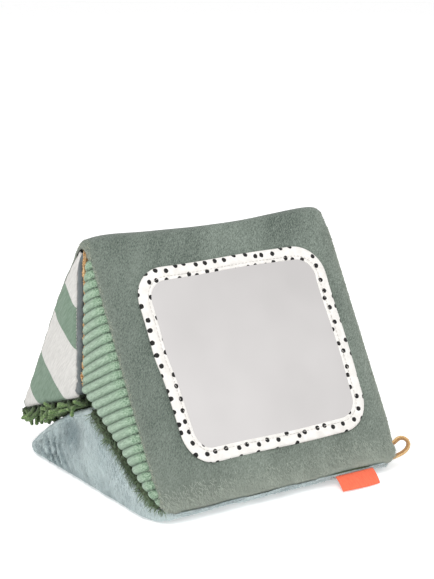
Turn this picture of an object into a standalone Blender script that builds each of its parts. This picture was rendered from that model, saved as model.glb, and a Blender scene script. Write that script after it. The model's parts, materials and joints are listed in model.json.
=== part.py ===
"""Tummy time book: three padded wedges that close into a tent, with a safe mirror on the front.

Metres, +Z up. X runs along the ridge, the mirror looks towards -Y, and the origin is the middle
of the face that the closed book rests on. The front wedge folds forward about the seam that joins
it to the base wedge, and the back wedge folds back about the ridge of the front one.
"""

import math
import random

import bpy
import bmesh
from mathutils import Vector

# The closed book
BOOK_WIDTH = 0.2055
FRONT_FACE = 0.191
FRONT_LEAN = math.radians(60.0)
BACK_FACE = 0.1755
BACK_LEAN = math.radians(56.2)
BASE_FRONT_REACH = 0.097
BASE_REAR_REACH = 0.0985
SEAM_HEIGHT = 0.009
RIDGE_ROUND = 0.005

# Where the inner edges of the wedges meet, near the middle of the tent
FRONT_APEX_ALONG = 0.106
FRONT_DEPTH = 0.0625
BASE_APEX_AHEAD = 0.0105
BASE_APEX_BELOW = 0.010
BACK_PAGE = 0.1085
BASE_NOSE_SETBACK = 0.0090

# Clearances
SEAM_GAP = 0.0003
END_GAP = 0.0005
CORE_GAP = 0.0008
PAGE_GAP = 0.0016
SHOULDER_GAP = 0.0004
NOODLE_CLEARANCE = 0.0012

# Fabric
PANEL_THICKNESS = 0.0022
FRONT_EDGE_ROUND = 0.004
BACK_EDGE_ROUND = 0.0035
BASE_EDGE_ROUND = 0.0048
FOLD_ROUND = 0.0005
SHOULDER_ROUND = 0.0008
AXIS_CORNER_ROUND = 0.0012
NOSE_ROUND = 0.027
FRONT_APEX_ROUND = 0.010
BACK_APEX_ROUND = 0.008
BASE_APEX_ROUND = 0.007
BASE_TAIL_ROUND = 0.0035
BACK_TAIL_ROUND = 0.0025

# How far the wedges are drawn in at their corners
CORNER_TUCK = 0.0025

# How far each face swells, or is pressed in, between its corners
FRONT_FACE_CROWN = 0.0015
FRONT_LOWER_HOLLOW = 0.0030
BASE_FRONT_CROWN = 0.0040
BASE_REAR_CROWN = 0.0050
BACK_FACE_CROWN = 0.0035
RIDGE_CROWN = 0.0006
FRONT_END_SWELL = 0.0022
BASE_END_SWELL = 0.0038
BACK_END_SWELL = 0.0022

# How far each face's fabric laps round onto the ends
COVER_WRAP = 0.0013
UPPER_PAGE_WRAP = 0.0055
LOWER_PAGE_WRAP = 0.0015
SATIN_WRAP = 0.0055
SHAG_WRAP = 0.0055
BASE_WRAP = 0.0030
BACK_COVER_WRAP = 0.0020
NOODLE_WRAP = 0.0018

# Corduroy ribs on the front wedge's ends
RIB_COUNT = 27
RIB_HEIGHT = 0.0016
RIB_END_INSET = 0.0020
RIB_COLUMN_SHARES = (0.0, 0.24, 0.76)
RIB_COLUMN_HEIGHT_SHARES = (0.0, 1.0, 1.0)
RIB_ROW_SHARES = (0.35, 0.70)
RIB_SEAM_SHARE = 0.35
RIB_TIP_SHARE = 0.70

# Noodle mat under the back wedge
NOODLE_ROWS = 12
NOODLE_COLUMNS = 25
NOODLE_LENGTH = 0.0165
NOODLE_RADIUS = 0.0017
NOODLE_TIP_RADIUS = 0.0011
NOODLE_SPREAD = 0.0045
NOODLE_JITTER = 0.0011
NOODLE_SEED = 7

# Mirror
MIRROR_SHIFT = 0.0050
MIRROR_CENTRE_UP = 0.0975
FRAME_MARGIN = 0.02325
FRAME_HALF_HEIGHT = 0.0690
FRAME_ROUND = 0.0240
FRAME_BAND = 0.0095
FRAME_LAP = 0.0045
FRAME_FABRIC = 0.0012
FRAME_BULGE = 0.0006
BACKING_THICKNESS = 0.0008
MIRROR_THICKNESS = 0.0005

# Label tab and cord loop
LABEL_FROM_END = 0.0445
LABEL_WIDTH = 0.0330
LABEL_LENGTH = 0.0155
LABEL_DROP = 0.0014
LABEL_THICKNESS = 0.0009
LABEL_DROOP = math.radians(25.5)
LABEL_CURL = math.radians(12.0)
LOOP_RADIUS = 0.0016
LOOP_UP = 0.0085
LOOP_HALF_WIDTH = 0.0071
LOOP_REACH = 0.0105
LOOP_TURN = math.radians(130.0)

FACE_SHARES = (1 / 6, 1 / 2, 5 / 6)
PLATEAU_SHARE = 2.0
WIDTH_SHARES = (-1.0, -0.85, 0.0, 0.85, 1.0)
CROWN_AT_END_SHARE = 0.85
TIGHT_CORNER_STEPS = 2
WIDE_CORNER_STEPS = 4
EDGE_STEPS = 3
OUTLINE_CORNER_STEPS = 5
BAND_STEPS = 6
LABEL_STEPS = 4
LOOP_STEPS = 22
SMOOTH_ANGLE = math.radians(40.0)

HALF_WIDTH = BOOK_WIDTH / 2
FRAME_HALF_WIDTH = HALF_WIDTH - FRAME_MARGIN
LABEL_CENTRE_X = HALF_WIDTH - LABEL_FROM_END


def slant(angle):
    """The direction (Y, Z) that rises at this angle above +Y."""
    return Vector((math.cos(angle), math.sin(angle)))


def outward(direction):
    """The normal on the right of a direction, which is outside a section drawn anticlockwise."""
    return Vector((direction.y, -direction.x))


# Hinge axes and the corners that the wedges share
FRONT_SEAM = Vector((-BASE_FRONT_REACH, SEAM_HEIGHT))
FRONT_UP = slant(FRONT_LEAN)
FRONT_OUT = -outward(FRONT_UP)
RIDGE_FOOT = FRONT_SEAM + FRONT_UP * FRONT_FACE
RIDGE_AXIS = RIDGE_FOOT - FRONT_OUT * RIDGE_ROUND
BACK_DOWN = slant(-BACK_LEAN)
BACK_OUT = -outward(BACK_DOWN)
BACK_FOOT = RIDGE_AXIS + BACK_OUT * RIDGE_ROUND
FRONT_APEX = FRONT_SEAM + FRONT_UP * FRONT_APEX_ALONG - FRONT_OUT * FRONT_DEPTH
BASE_APEX = FRONT_APEX - Vector((BASE_APEX_AHEAD, BASE_APEX_BELOW))
PAGE_DOWN = (FRONT_APEX + Vector((PAGE_GAP, 0)) - RIDGE_AXIS).normalized()
BACK_APEX = RIDGE_AXIS + PAGE_DOWN * BACK_PAGE
BACK_TAIL = BACK_FOOT + BACK_DOWN * BACK_FACE
BASE_TAIL = Vector((BASE_REAR_REACH, 0))
BASE_NOSE = Vector((BASE_NOSE_SETBACK - BASE_FRONT_REACH, 0))


class Station:
    """One place on the way round a wedge's section."""

    def __init__(self, point, normal, crown, wrap, tuck):
        self.point = point
        self.normal = normal
        self.crown = crown
        self.wrap = wrap
        self.tuck = tuck

    def narrowed(self, x):
        """X once the wedge is drawn in at its corners."""
        return x * (1 - self.tuck / HALF_WIDTH)


class Wedge:
    """A section of straight faces with rounded corners, and what becomes of it towards the ends.

    Every layer is the section drawn in towards one centre, so that layers never cross.
    """

    def __init__(self, corners, rounds, crowns, wraps, long_faces, flat_face, edge_round, end_swell):
        self.corners = corners
        self.rounds = rounds
        self.crowns = crowns
        self.wraps = wraps
        self.long_faces = long_faces
        self.flat_face = flat_face
        self.edge_round = edge_round
        self.end_swell = end_swell
        self.quarter = edge_round * math.pi / 2
        self.centre, self.inradius = self.inscribed()

    def face(self, index):
        """A face's first corner, its direction and its length."""
        start = self.corners[index]
        run = self.corners[(index + 1) % len(self.corners)] - start
        return start, run.normalized(), run.length

    def inscribed(self):
        """Centre and radius of the circle that touches the three long faces."""
        rows = []
        for index in self.long_faces:
            start, direction, _ = self.face(index)
            normal = outward(direction)
            rows.append((normal, normal.dot(start)))
        (first, at_first), (second, at_second), (third, at_third) = rows
        across = (first - second, first - third)
        reach = (at_first - at_second, at_first - at_third)
        scale = across[0].cross(across[1])
        centre = Vector((
            (reach[0] * across[1].y - reach[1] * across[0].y) / scale,
            (across[0].x * reach[1] - across[1].x * reach[0]) / scale,
        ))
        return centre, at_first - first.dot(centre)

    def corner_arc(self, index, steps):
        """Stations round one corner, from the face before it to the face after it."""
        before, after = (index - 1) % len(self.corners), index
        _, direction_in, _ = self.face(before)
        corner, direction_out, _ = self.face(after)
        turn = math.atan2(direction_in.cross(direction_out), direction_in.dot(direction_out))
        radius = self.rounds[index]
        start_normal = outward(direction_in)
        middle = corner - direction_in * radius * math.tan(turn / 2) - start_normal * radius
        wrap = (self.wraps[before] + self.wraps[after]) / 2
        found = []
        for step in range(steps + 1):
            angle = turn * step / steps
            normal = Vector((
                start_normal.x * math.cos(angle) - start_normal.y * math.sin(angle),
                start_normal.x * math.sin(angle) + start_normal.y * math.cos(angle),
            ))
            found.append(Station(middle + normal * radius, normal, 0.0, wrap, CORNER_TUCK))
        return found

    def corner_steps(self, index):
        return WIDE_CORNER_STEPS if self.rounds[index] > self.edge_round else TIGHT_CORNER_STEPS

    def rise(self, index, share):
        """How much of a face's crown is reached at this share of the way along it."""
        round_rise = 4 * share * (1 - share)
        return min(1.0, PLATEAU_SHARE * round_rise) if index == self.flat_face else round_rise

    def tuck(self, share):
        """How far the wedge is drawn in at this share of the way along a face."""
        nearest = min(share, 1 - share)
        return CORNER_TUCK * max(0.0, 1 - nearest / FACE_SHARES[0])

    def stations(self, faces, shares=FACE_SHARES):
        """Stations along neighbouring faces, from the middle of one corner to that of another."""
        count = len(self.corners)
        arc = self.corner_arc(faces[0], self.corner_steps(faces[0]))
        found = arc[len(arc) // 2:]
        for index in faces:
            direction = self.face(index)[1]
            start = found[-1].point
            arc = self.corner_arc((index + 1) % count, self.corner_steps((index + 1) % count))
            if index == faces[-1]:
                arc = arc[: len(arc) // 2 + 1]
            run = arc[0].point - start
            for share in shares if index in self.long_faces else ():
                crown = self.crowns[index] * self.rise(index, share)
                place = start + run * share
                wrap = self.wraps[index]
                found.append(Station(place, outward(direction), crown, wrap, self.tuck(share)))
            found += arc
        return found

    def ring(self):
        """Stations all the way round, each once."""
        return self.stations(range(len(self.corners)))[:-1]

    def at(self, station, x, inset, slide=0.0):
        """The place at X on a layer drawn in by inset; slide moves it along the section."""
        end_share = CROWN_AT_END_SHARE if station.crown > 0 else 1.0
        swell = station.crown * (1 - (1 - end_share) * abs(x / HALF_WIDTH) ** 8)
        tangent = Vector((-station.normal.y, station.normal.x))
        point = station.point + station.normal * swell + tangent * slide
        point = self.centre + (point - self.centre) * (1 - inset / self.inradius)
        return Vector((station.narrowed(x), point.x, point.y))

    def edge(self, run, depth):
        """Distance in from the end plane, and inset, at a run round the end edge from the face."""
        radius = self.edge_round - depth
        angle = min(run, self.quarter) / self.edge_round
        past = max(run - self.quarter, 0.0)
        from_end = self.edge_round - radius * math.sin(angle)
        return from_end, self.edge_round - radius * math.cos(angle) + past

    def seam_run(self, wrap):
        """The run round the end edge at which a face's fabric is sewn to the end."""
        if wrap < self.edge_round:
            return self.edge_round * math.acos(1 - wrap / self.edge_round)
        return self.quarter + wrap - self.edge_round

    def end_bulge(self, inset):
        """How far the end swells outwards at this inset."""
        share = min(inset / self.inradius, 1.0)
        return self.end_swell * (1 - (1 - share) ** 2)


FRONT = Wedge(
    corners=(
        FRONT_SEAM + Vector((0, SEAM_GAP)),
        FRONT_APEX,
        RIDGE_AXIS - Vector((PAGE_GAP / 2, 0)) - FRONT_UP * SHOULDER_GAP,
        RIDGE_FOOT - FRONT_UP * SHOULDER_GAP,
    ),
    rounds=(FOLD_ROUND, FRONT_APEX_ROUND, AXIS_CORNER_ROUND, SHOULDER_ROUND),
    crowns=(-FRONT_LOWER_HOLLOW, 0.0, 0.0, FRONT_FACE_CROWN),
    wraps=(LOWER_PAGE_WRAP, UPPER_PAGE_WRAP, UPPER_PAGE_WRAP, COVER_WRAP),
    long_faces=(0, 1, 3),
    flat_face=3,
    edge_round=FRONT_EDGE_ROUND,
    end_swell=FRONT_END_SWELL,
)
BACK = Wedge(
    corners=(
        RIDGE_AXIS + Vector((PAGE_GAP / 2, 0)) + BACK_DOWN * SHOULDER_GAP,
        BACK_APEX + Vector((PAGE_GAP / 2, 0)),
        BACK_TAIL,
        BACK_FOOT + BACK_DOWN * SHOULDER_GAP,
    ),
    rounds=(AXIS_CORNER_ROUND, BACK_APEX_ROUND, BACK_TAIL_ROUND, SHOULDER_ROUND),
    crowns=(0.0, 0.0, BACK_FACE_CROWN, 0.0),
    wraps=(SATIN_WRAP, NOODLE_WRAP, BACK_COVER_WRAP, BACK_COVER_WRAP),
    long_faces=(0, 1, 2),
    flat_face=None,
    edge_round=BACK_EDGE_ROUND,
    end_swell=BACK_END_SWELL,
)
BASE = Wedge(
    corners=(
        FRONT_SEAM - Vector((0, SEAM_GAP)),
        BASE_NOSE,
        BASE_TAIL,
        BASE_APEX,
    ),
    rounds=(SHOULDER_ROUND, NOSE_ROUND, BASE_TAIL_ROUND, BASE_APEX_ROUND),
    crowns=(0.0, 0.0, BASE_REAR_CROWN, BASE_FRONT_CROWN),
    wraps=(BASE_WRAP, BASE_WRAP, BASE_WRAP, SHAG_WRAP),
    long_faces=(1, 2, 3),
    flat_face=None,
    edge_round=BASE_EDGE_ROUND,
    end_swell=BASE_END_SWELL,
)


def clear_scene():
    for obj in list(bpy.data.objects):
        bpy.data.objects.remove(obj)


def hinge_empty(name, point, parent=None):
    """An empty on a hinge axis, which carries the pieces that turn about it."""
    empty = bpy.data.objects.new(name, None)
    bpy.context.collection.objects.link(empty)
    place = Vector((0, point.x, point.y))
    empty.parent = parent
    empty.location = place - parent.location if parent else place
    return empty


def world_place(empty):
    place = Vector((0, 0, 0))
    while empty:
        place += empty.location
        empty = empty.parent
    return place


def material(name, colour, roughness, metallic=0.0):
    made = bpy.data.materials.new(name)
    made.use_nodes = True
    shader = made.node_tree.nodes["Principled BSDF"]
    shader.inputs["Base Color"].default_value = (*colour, 1.0)
    shader.inputs["Roughness"].default_value = roughness
    shader.inputs["Metallic"].default_value = metallic
    return made


def solid(name, points, faces, finish, carrier=None):
    """A mesh object from world points, hung on its carrier, with its faces turned outwards."""
    shift = world_place(carrier)
    mesh = bpy.data.meshes.new(name)
    mesh.from_pydata([point - shift for point in points], [], faces)
    work = bmesh.new()
    work.from_mesh(mesh)
    bmesh.ops.recalc_face_normals(work, faces=work.faces)
    bmesh.ops.triangulate(work, faces=[face for face in work.faces if len(face.verts) > 4])
    work.to_mesh(mesh)
    work.free()
    mesh.shade_smooth()
    mesh.set_sharp_from_angle(angle=SMOOTH_ANGLE)
    mesh.materials.append(finish)
    made = bpy.data.objects.new(name, mesh)
    bpy.context.collection.objects.link(made)
    made.parent = carrier
    return made


def strip(first, second, closed=False):
    """Quads between two rows of point numbers."""
    last = len(first) if closed else len(first) - 1
    return [
        (first[i], first[(i + 1) % len(first)], second[(i + 1) % len(second)], second[i])
        for i in range(last)
    ]


def panel_columns(wedge, wrap, depth, width_shares):
    """Places across the book, from seam to seam, as (X, inset) on one side of a panel."""
    flat = HALF_WIDTH - wedge.edge_round
    seam = wedge.seam_run(wrap)
    edge = []
    for step in range(1, EDGE_STEPS + 1):
        from_end, inset = wedge.edge(seam * step / EDGE_STEPS, depth)
        edge.append((HALF_WIDTH - from_end, inset))
    middle = [(flat * share, depth) for share in width_shares]
    return [(-x, inset) for x, inset in reversed(edge)] + middle + edge


def panel_grid(wedge, stations, width_shares=WIDTH_SHARES):
    """Points and rows of a fabric panel over some faces, with its edges lapped round the ends."""
    points, outer, inner = [], [], []
    for depth, rows in ((0.0, outer), (PANEL_THICKNESS, inner)):
        for index, station in enumerate(stations):
            slide = 0.0
            if index == 0:
                slide = SEAM_GAP / 2
            elif index == len(stations) - 1:
                slide = -SEAM_GAP / 2
            columns = panel_columns(wedge, station.wrap, depth, width_shares)
            rows.append([len(points) + i for i in range(len(columns))])
            points += [wedge.at(station, x, inset, slide) for x, inset in columns]
    return points, outer, inner


def panel_faces(outer, inner):
    """Both sides of a panel and the four edges between them."""
    faces = []
    for rows in (outer, inner):
        for first, second in zip(rows, rows[1:]):
            faces += strip(first, second)
    return faces + panel_rim(outer, inner)


def panel_rim(outer, inner):
    faces = strip(outer[0], inner[0]) + strip(outer[-1], inner[-1])
    for side in (0, -1):
        faces += strip([row[side] for row in outer], [row[side] for row in inner])
    return faces


def panel(name, wedge, faces, finish, carrier):
    """One fabric panel sewn over a run of neighbouring faces."""
    points, outer, inner = panel_grid(wedge, wedge.stations(faces))
    return solid(name, points, panel_faces(outer, inner), finish, carrier)


def core(name, wedge, finish, carrier):
    """The foam wedge inside the panels."""
    stations = wedge.ring()
    depth = PANEL_THICKNESS + CORE_GAP
    flat = HALF_WIDTH - wedge.edge_round
    edge = [wedge.edge(wedge.quarter * step / 2, depth) for step in (1, 2)]
    columns = [(-HALF_WIDTH + from_end, inset) for from_end, inset in reversed(edge)]
    columns += [(flat * share, depth) for share in WIDTH_SHARES]
    columns += [(HALF_WIDTH - from_end, inset) for from_end, inset in edge]
    points, rows = [], []
    for x, inset in columns:
        rows.append([len(points) + i for i in range(len(stations))])
        points += [wedge.at(station, x, inset) for station in stations]
    faces = []
    for first, second in zip(rows, rows[1:]):
        faces += strip(first, second, closed=True)
    for row in (rows[0], rows[-1]):
        points.append(Vector((points[row[0]].x, wedge.centre.x, wedge.centre.y)))
        faces += strip(row, [len(points) - 1] * len(row), closed=True)
    faces = [tuple(dict.fromkeys(face)) for face in faces]
    return solid(name, points, faces, finish, carrier)


def gusset(name, wedge, side, finish, carrier):
    """A smooth end, sewn in between the panels and swelling outwards."""
    stations = wedge.ring()
    points, layers = [], []
    for depth, swells in ((0.0, True), (PANEL_THICKNESS, False)):
        rows = []
        for ring_index in range(4):
            row = []
            for station in stations:
                start = wedge.seam_run(station.wrap) + END_GAP
                flat_start = max(start, wedge.quarter) + wedge.edge_round / 2
                runs = (start, (start + flat_start) / 2, flat_start)
                if ring_index < 3:
                    from_end, inset = wedge.edge(runs[ring_index], depth)
                else:
                    _, inset = wedge.edge(flat_start, depth)
                    from_end, inset = depth, (inset + wedge.inradius) / 2
                out = wedge.end_bulge(inset) if swells else 0.0
                row.append(len(points))
                points.append(wedge.at(station, side * (HALF_WIDTH - from_end + out), inset))
            rows.append(row)
        tip = side * (HALF_WIDTH - depth + (wedge.end_swell if swells else 0.0))
        points.append(Vector((tip, wedge.centre.x, wedge.centre.y)))
        rows.append([len(points) - 1] * len(stations))
        layers.append(rows)
    faces = strip(layers[0][0], layers[1][0], closed=True)
    for rows in layers:
        for first, second in zip(rows, rows[1:]):
            faces += strip(first, second, closed=True)
    faces = [tuple(dict.fromkeys(face)) for face in faces]
    return solid(name, points, faces, finish, carrier)


def along_front(point):
    """How far a section point lies up the front face, and how far behind it."""
    offset = point - FRONT_SEAM
    return offset.dot(FRONT_UP), -offset.dot(FRONT_OUT)


def rib_columns(low, high):
    """Places up the front face and rib heights, from the lowest rib's foot to the top one's."""
    pitch = (high - low) / RIB_COUNT
    found = []
    for rib in range(RIB_COUNT):
        for share, height_share in zip(RIB_COLUMN_SHARES, RIB_COLUMN_HEIGHT_SHARES):
            found.append((low + pitch * (rib + share), RIB_HEIGHT * height_share))
    found.append((high, 0.0))
    return found


class FrontEnd:
    """The front wedge's end, read at any place up the front face and behind it."""

    def __init__(self):
        self.curves = {}
        for depth in (0.0, PANEL_THICKNESS):
            self.curves[depth] = [self.seam(faces, depth) for faces in ((3,), (0, 1))]

    def seam(self, faces, depth):
        """The line where faces are sewn to the end, as (up, behind, run round the edge, tuck)."""
        found = []
        for station in FRONT.stations(faces):
            run = FRONT.seam_run(station.wrap) + END_GAP
            _, inset = FRONT.edge(run, depth)
            place = FRONT.at(station, HALF_WIDTH, inset)
            found.append((*along_front(Vector((place.y, place.z))), run, station.tuck))
        return sorted(found)

    def limits(self, depth):
        """The lowest and the highest places that both seams reach."""
        return (
            max(curve[0][0] for curve in self.curves[depth]),
            min(curve[-1][0] for curve in self.curves[depth]),
        )

    def read(self, up, depth=0.0):
        """The front seam and the page seam at this height, as (behind, run, tuck, slope)."""
        found = []
        for curve in self.curves[depth]:
            high = next((i for i in range(1, len(curve)) if curve[i][0] >= up), len(curve) - 1)
            below, above = curve[high - 1], curve[high]
            span = max(above[0] - below[0], SEAM_GAP)
            share = (up - below[0]) / span
            values = [a + (b - a) * share for a, b in zip(below[1:], above[1:])]
            found.append((*values, (above[1] - below[1]) / span))
        return found

    def place(self, up, behind, rib):
        """The end's surface with a rib of this height on it, in world axes on the right."""
        front, page = self.read(up)
        lean = 1 / math.sqrt(1 + page[3] ** 2)
        from_front = behind - front[0] + FRONT.edge(front[1], 0.0)[1]
        from_page = (page[0] - behind) * lean + FRONT.edge(page[1], 0.0)[1]
        inset = max(min(from_front, from_page), 0.0)
        cosine = max(1 - inset / FRONT.edge_round, 0.0)
        sine = math.sqrt(1 - cosine ** 2)
        x = HALF_WIDTH - FRONT.edge_round * (1 - sine) + FRONT.end_bulge(inset) + rib * sine
        share = min(max((behind - front[0]) / (page[0] - front[0]), 0.0), 1.0)
        x *= 1 - (front[2] + (page[2] - front[2]) * share) / HALF_WIDTH
        push = rib * cosine / lean if from_page <= from_front else 0.0
        point = FRONT_SEAM + FRONT_UP * up - FRONT_OUT * (behind + push)
        return Vector((x, point.x, point.y))

    def rows_behind(self, up):
        """Places from the front seam to the page seam, closer together over the rounded edges."""
        (front, *_), (page, *_, slope) = self.read(up)
        shoulder = FRONT.edge_round / 2
        start = front + shoulder
        end = page - shoulder * math.sqrt(1 + slope ** 2)
        if end - start < shoulder:
            start = front + (page - front) / 3
            end = front + (page - front) * 2 / 3
        middle = [start + (end - start) * share for share in RIB_ROW_SHARES]
        return [front, start, *middle, end, page]


def ribbed_gusset(name, side, finish, carrier):
    """A corduroy end whose ribs run square to the front face and round over the page edges."""
    end = FrontEnd()
    low, high = end.limits(PANEL_THICKNESS)
    points, outer, inner = [], [], []
    for up, height in rib_columns(low + RIB_END_INSET, high - RIB_END_INSET):
        behinds = end.rows_behind(up)
        shares = [RIB_SEAM_SHARE] + [1.0] * (len(behinds) - 2) + [RIB_TIP_SHARE]
        outer.append([len(points) + i for i in range(len(behinds))])
        points += [end.place(up, behind, height * share) for behind, share in zip(behinds, shares)]
        inner.append([len(points), len(points) + 1])
        for behind, run, tuck, _ in end.read(up, PANEL_THICKNESS):
            from_end, _ = FRONT.edge(run, PANEL_THICKNESS)
            x = (HALF_WIDTH - from_end) * (1 - tuck / HALF_WIDTH)
            place = FRONT_SEAM + FRONT_UP * up - FRONT_OUT * behind
            points.append(Vector((x, place.x, place.y)))
    points = [Vector((side * point.x, point.y, point.z)) for point in points]
    faces = []
    for rows in (outer, inner):
        for first, second in zip(rows, rows[1:]):
            faces += strip(first, second)
    for column in (0, -1):
        faces += strip([row[column] for row in outer], [row[column] for row in inner])
    for first, second in ((outer[0], inner[0]), (outer[-1], inner[-1])):
        faces.append((*first, second[1], second[0]))
    return solid(name, points, faces, finish, carrier)


def noodle_panel(name, wedge, finish, carrier):
    """The mat under the back wedge: a backing whose every cell carries one hanging noodle."""
    column_shares = [2 * j / NOODLE_COLUMNS - 1 for j in range(NOODLE_COLUMNS + 1)]
    row_shares = [i / NOODLE_ROWS for i in range(1, NOODLE_ROWS)]
    stations = wedge.stations((1,), row_shares)
    points, outer, inner = panel_grid(wedge, stations, column_shares)
    first_row = wedge.corner_steps(1) // 2
    faces = panel_rim(outer, inner)
    for first, second in zip(inner, inner[1:]):
        faces += strip(first, second)
    chooser = random.Random(NOODLE_SEED)
    for i, (first, second) in enumerate(zip(outer, outer[1:])):
        for j, quad in enumerate(strip(first, second)):
            row, column = i - first_row, j - EDGE_STEPS
            if 0 <= row < NOODLE_ROWS and 0 <= column < NOODLE_COLUMNS:
                shares = ((row + 0.5) / NOODLE_ROWS, (column + 0.5) / NOODLE_COLUMNS)
                faces += noodle(points, quad, wedge, shares, chooser)
            else:
                faces.append(quad)
    return solid(name, points, faces, finish, carrier)


def noodle(points, quad, wedge, shares, chooser):
    """One three-sided noodle grown out of a cell of the mat; returns its faces."""
    corner = [points[number] for number in quad]
    root = sum(corner, Vector()) / len(corner)
    across = (corner[1] - corner[0]).normalized()
    along = (corner[3] - corner[0]).normalized()
    normal = outward(wedge.face(1)[1])
    down = Vector((0, normal.x, normal.y))
    lean_along = NOODLE_SPREAD * (2 * shares[0] - 1) + chooser.uniform(-NOODLE_JITTER, NOODLE_JITTER)
    lean_across = NOODLE_SPREAD * (2 * shares[1] - 1) + chooser.uniform(-NOODLE_JITTER, NOODLE_JITTER)
    reach = down * NOODLE_LENGTH + along * lean_along + across * lean_across
    reach *= min(1.0, room_below(root) / -reach.dot(base_rear_normal()))
    bend = across * chooser.uniform(-NOODLE_JITTER, NOODLE_JITTER)
    rings = []
    for share, radius, offset in (
        (0.0, NOODLE_RADIUS, Vector()),
        (0.5, NOODLE_RADIUS, bend),
        (1.0, NOODLE_TIP_RADIUS, Vector()),
    ):
        ring = []
        for angle in (-math.pi / 2, math.pi / 6, math.pi * 5 / 6):
            ring.append(len(points))
            spoke = across * math.cos(angle) + along * math.sin(angle)
            points.append(root + reach * share + offset + spoke * radius)
        rings.append(ring)
    low, right, left = rings[0]
    faces = [
        (quad[0], quad[1], low),
        (quad[1], quad[2], right, low),
        (quad[2], quad[3], left, right),
        (quad[3], quad[0], low, left),
    ]
    for first, second in zip(rings, rings[1:]):
        faces += strip(first, second, closed=True)
    return faces + [tuple(rings[-1])]


def base_rear_normal():
    """The outward normal of the base wedge's rear page, in world axes."""
    normal = outward(BASE.face(2)[1])
    return Vector((0, normal.x, normal.y))


def room_below(root):
    """How far a point on the mat lies above the base wedge's rear page, less the clearance."""
    tail = Vector((0, BASE_TAIL.x, BASE_TAIL.y))
    return (root - tail).dot(base_rear_normal()) - BASE_REAR_CROWN - NOODLE_CLEARANCE


def ridge_band(name, finish, carrier):
    """The strip of plush that bends over the ridge and joins the two outer covers."""
    start = math.atan2(FRONT_OUT.y, FRONT_OUT.x)
    end = math.atan2(BACK_OUT.y, BACK_OUT.x)
    points, rows = [], []
    for depth in (0.0, PANEL_THICKNESS):
        for step in range(BAND_STEPS + 1):
            share = step / BAND_STEPS
            angle = start + (end - start) * share
            row = []
            for x_share in WIDTH_SHARES:
                lift = RIDGE_CROWN * (1 - x_share ** 2) * 4 * share * (1 - share)
                radius = RIDGE_ROUND - depth + lift
                row.append(len(points))
                place = RIDGE_AXIS + slant(angle) * radius
                x = x_share * (HALF_WIDTH - FRONT_EDGE_ROUND / 2)
                points.append(Vector((x, place.x, place.y)))
            rows.append(row)
    outer, inner = rows[: BAND_STEPS + 1], rows[BAND_STEPS + 1:]
    return solid(name, points, panel_faces(outer, inner), finish, carrier)


def front_place(x, up, height):
    """A place above the flat middle of the front cover."""
    place = FRONT_SEAM + FRONT_UP * up + FRONT_OUT * (FRONT_FACE_CROWN + height)
    return Vector((x, place.x, place.y))


def rounded_outline(inset):
    """The mirror frame's outline drawn in by inset, as (X, up the front face)."""
    radius = FRAME_ROUND - inset
    half_x = FRAME_HALF_WIDTH - FRAME_ROUND
    half_up = FRAME_HALF_HEIGHT - FRAME_ROUND
    found = []
    for quadrant, (sign_x, sign_up) in enumerate(((1, 1), (-1, 1), (-1, -1), (1, -1))):
        for step in range(OUTLINE_CORNER_STEPS + 1):
            angle = math.pi / 2 * (quadrant + step / OUTLINE_CORNER_STEPS)
            x = MIRROR_SHIFT + sign_x * half_x + radius * math.cos(angle)
            up = MIRROR_CENTRE_UP + sign_up * half_up + radius * math.sin(angle)
            found.append((x, up))
    return found


def plate(name, inset, low, thickness, finish, carrier):
    """A thin sheet inside the frame's outline, lying on the front cover."""
    outline = rounded_outline(inset)
    points, layers = [], []
    for height in (low, low + thickness):
        rows = []
        for share in (1.0, 0.66, 0.33):
            rows.append([len(points) + i for i in range(len(outline))])
            for x, up in outline:
                at_x = MIRROR_SHIFT + (x - MIRROR_SHIFT) * share
                at_up = MIRROR_CENTRE_UP + (up - MIRROR_CENTRE_UP) * share
                points.append(front_place(at_x, at_up, height))
        points.append(front_place(MIRROR_SHIFT, MIRROR_CENTRE_UP, height))
        rows.append([len(points) - 1] * len(outline))
        layers.append(rows)
    faces = strip(layers[0][0], layers[1][0], closed=True)
    for rows in layers:
        for first, second in zip(rows, rows[1:]):
            faces += strip(first, second, closed=True)
    faces = [tuple(dict.fromkeys(face)) for face in faces]
    return solid(name, points, faces, finish, carrier)


BACKING_LOW = SEAM_GAP
MIRROR_LOW = BACKING_LOW + BACKING_THICKNESS + SEAM_GAP
FRAME_LAP_LOW = MIRROR_LOW + MIRROR_THICKNESS + SEAM_GAP
FRAME_TOP = FRAME_LAP_LOW + FRAME_FABRIC
SHEET_INSET = FRAME_BAND - FRAME_LAP


def mirror_frame(name, finish, carrier):
    """The cotton binding that laps over the mirror's edge and is sewn down round it."""
    band_middle = FRAME_BAND / 2
    inner_wall = SHEET_INSET - SEAM_GAP
    profile = (
        (0.0, SEAM_GAP),
        (0.0, FRAME_TOP - FRAME_FABRIC),
        (FRAME_FABRIC, FRAME_TOP),
        (band_middle, FRAME_TOP + FRAME_BULGE),
        (FRAME_BAND - FRAME_FABRIC / 2, FRAME_TOP),
        (FRAME_BAND, FRAME_TOP - FRAME_FABRIC / 2),
        (FRAME_BAND, FRAME_LAP_LOW),
        (inner_wall, FRAME_LAP_LOW),
        (inner_wall, SEAM_GAP),
    )
    points, rows = [], []
    for inset, height in profile:
        outline = rounded_outline(inset)
        rows.append([len(points) + i for i in range(len(outline))])
        points += [front_place(x, up, height) for x, up in outline]
    faces = []
    for first, second in zip(rows, rows[1:] + rows[:1]):
        faces += strip(first, second, closed=True)
    return solid(name, points, faces, finish, carrier)


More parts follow.
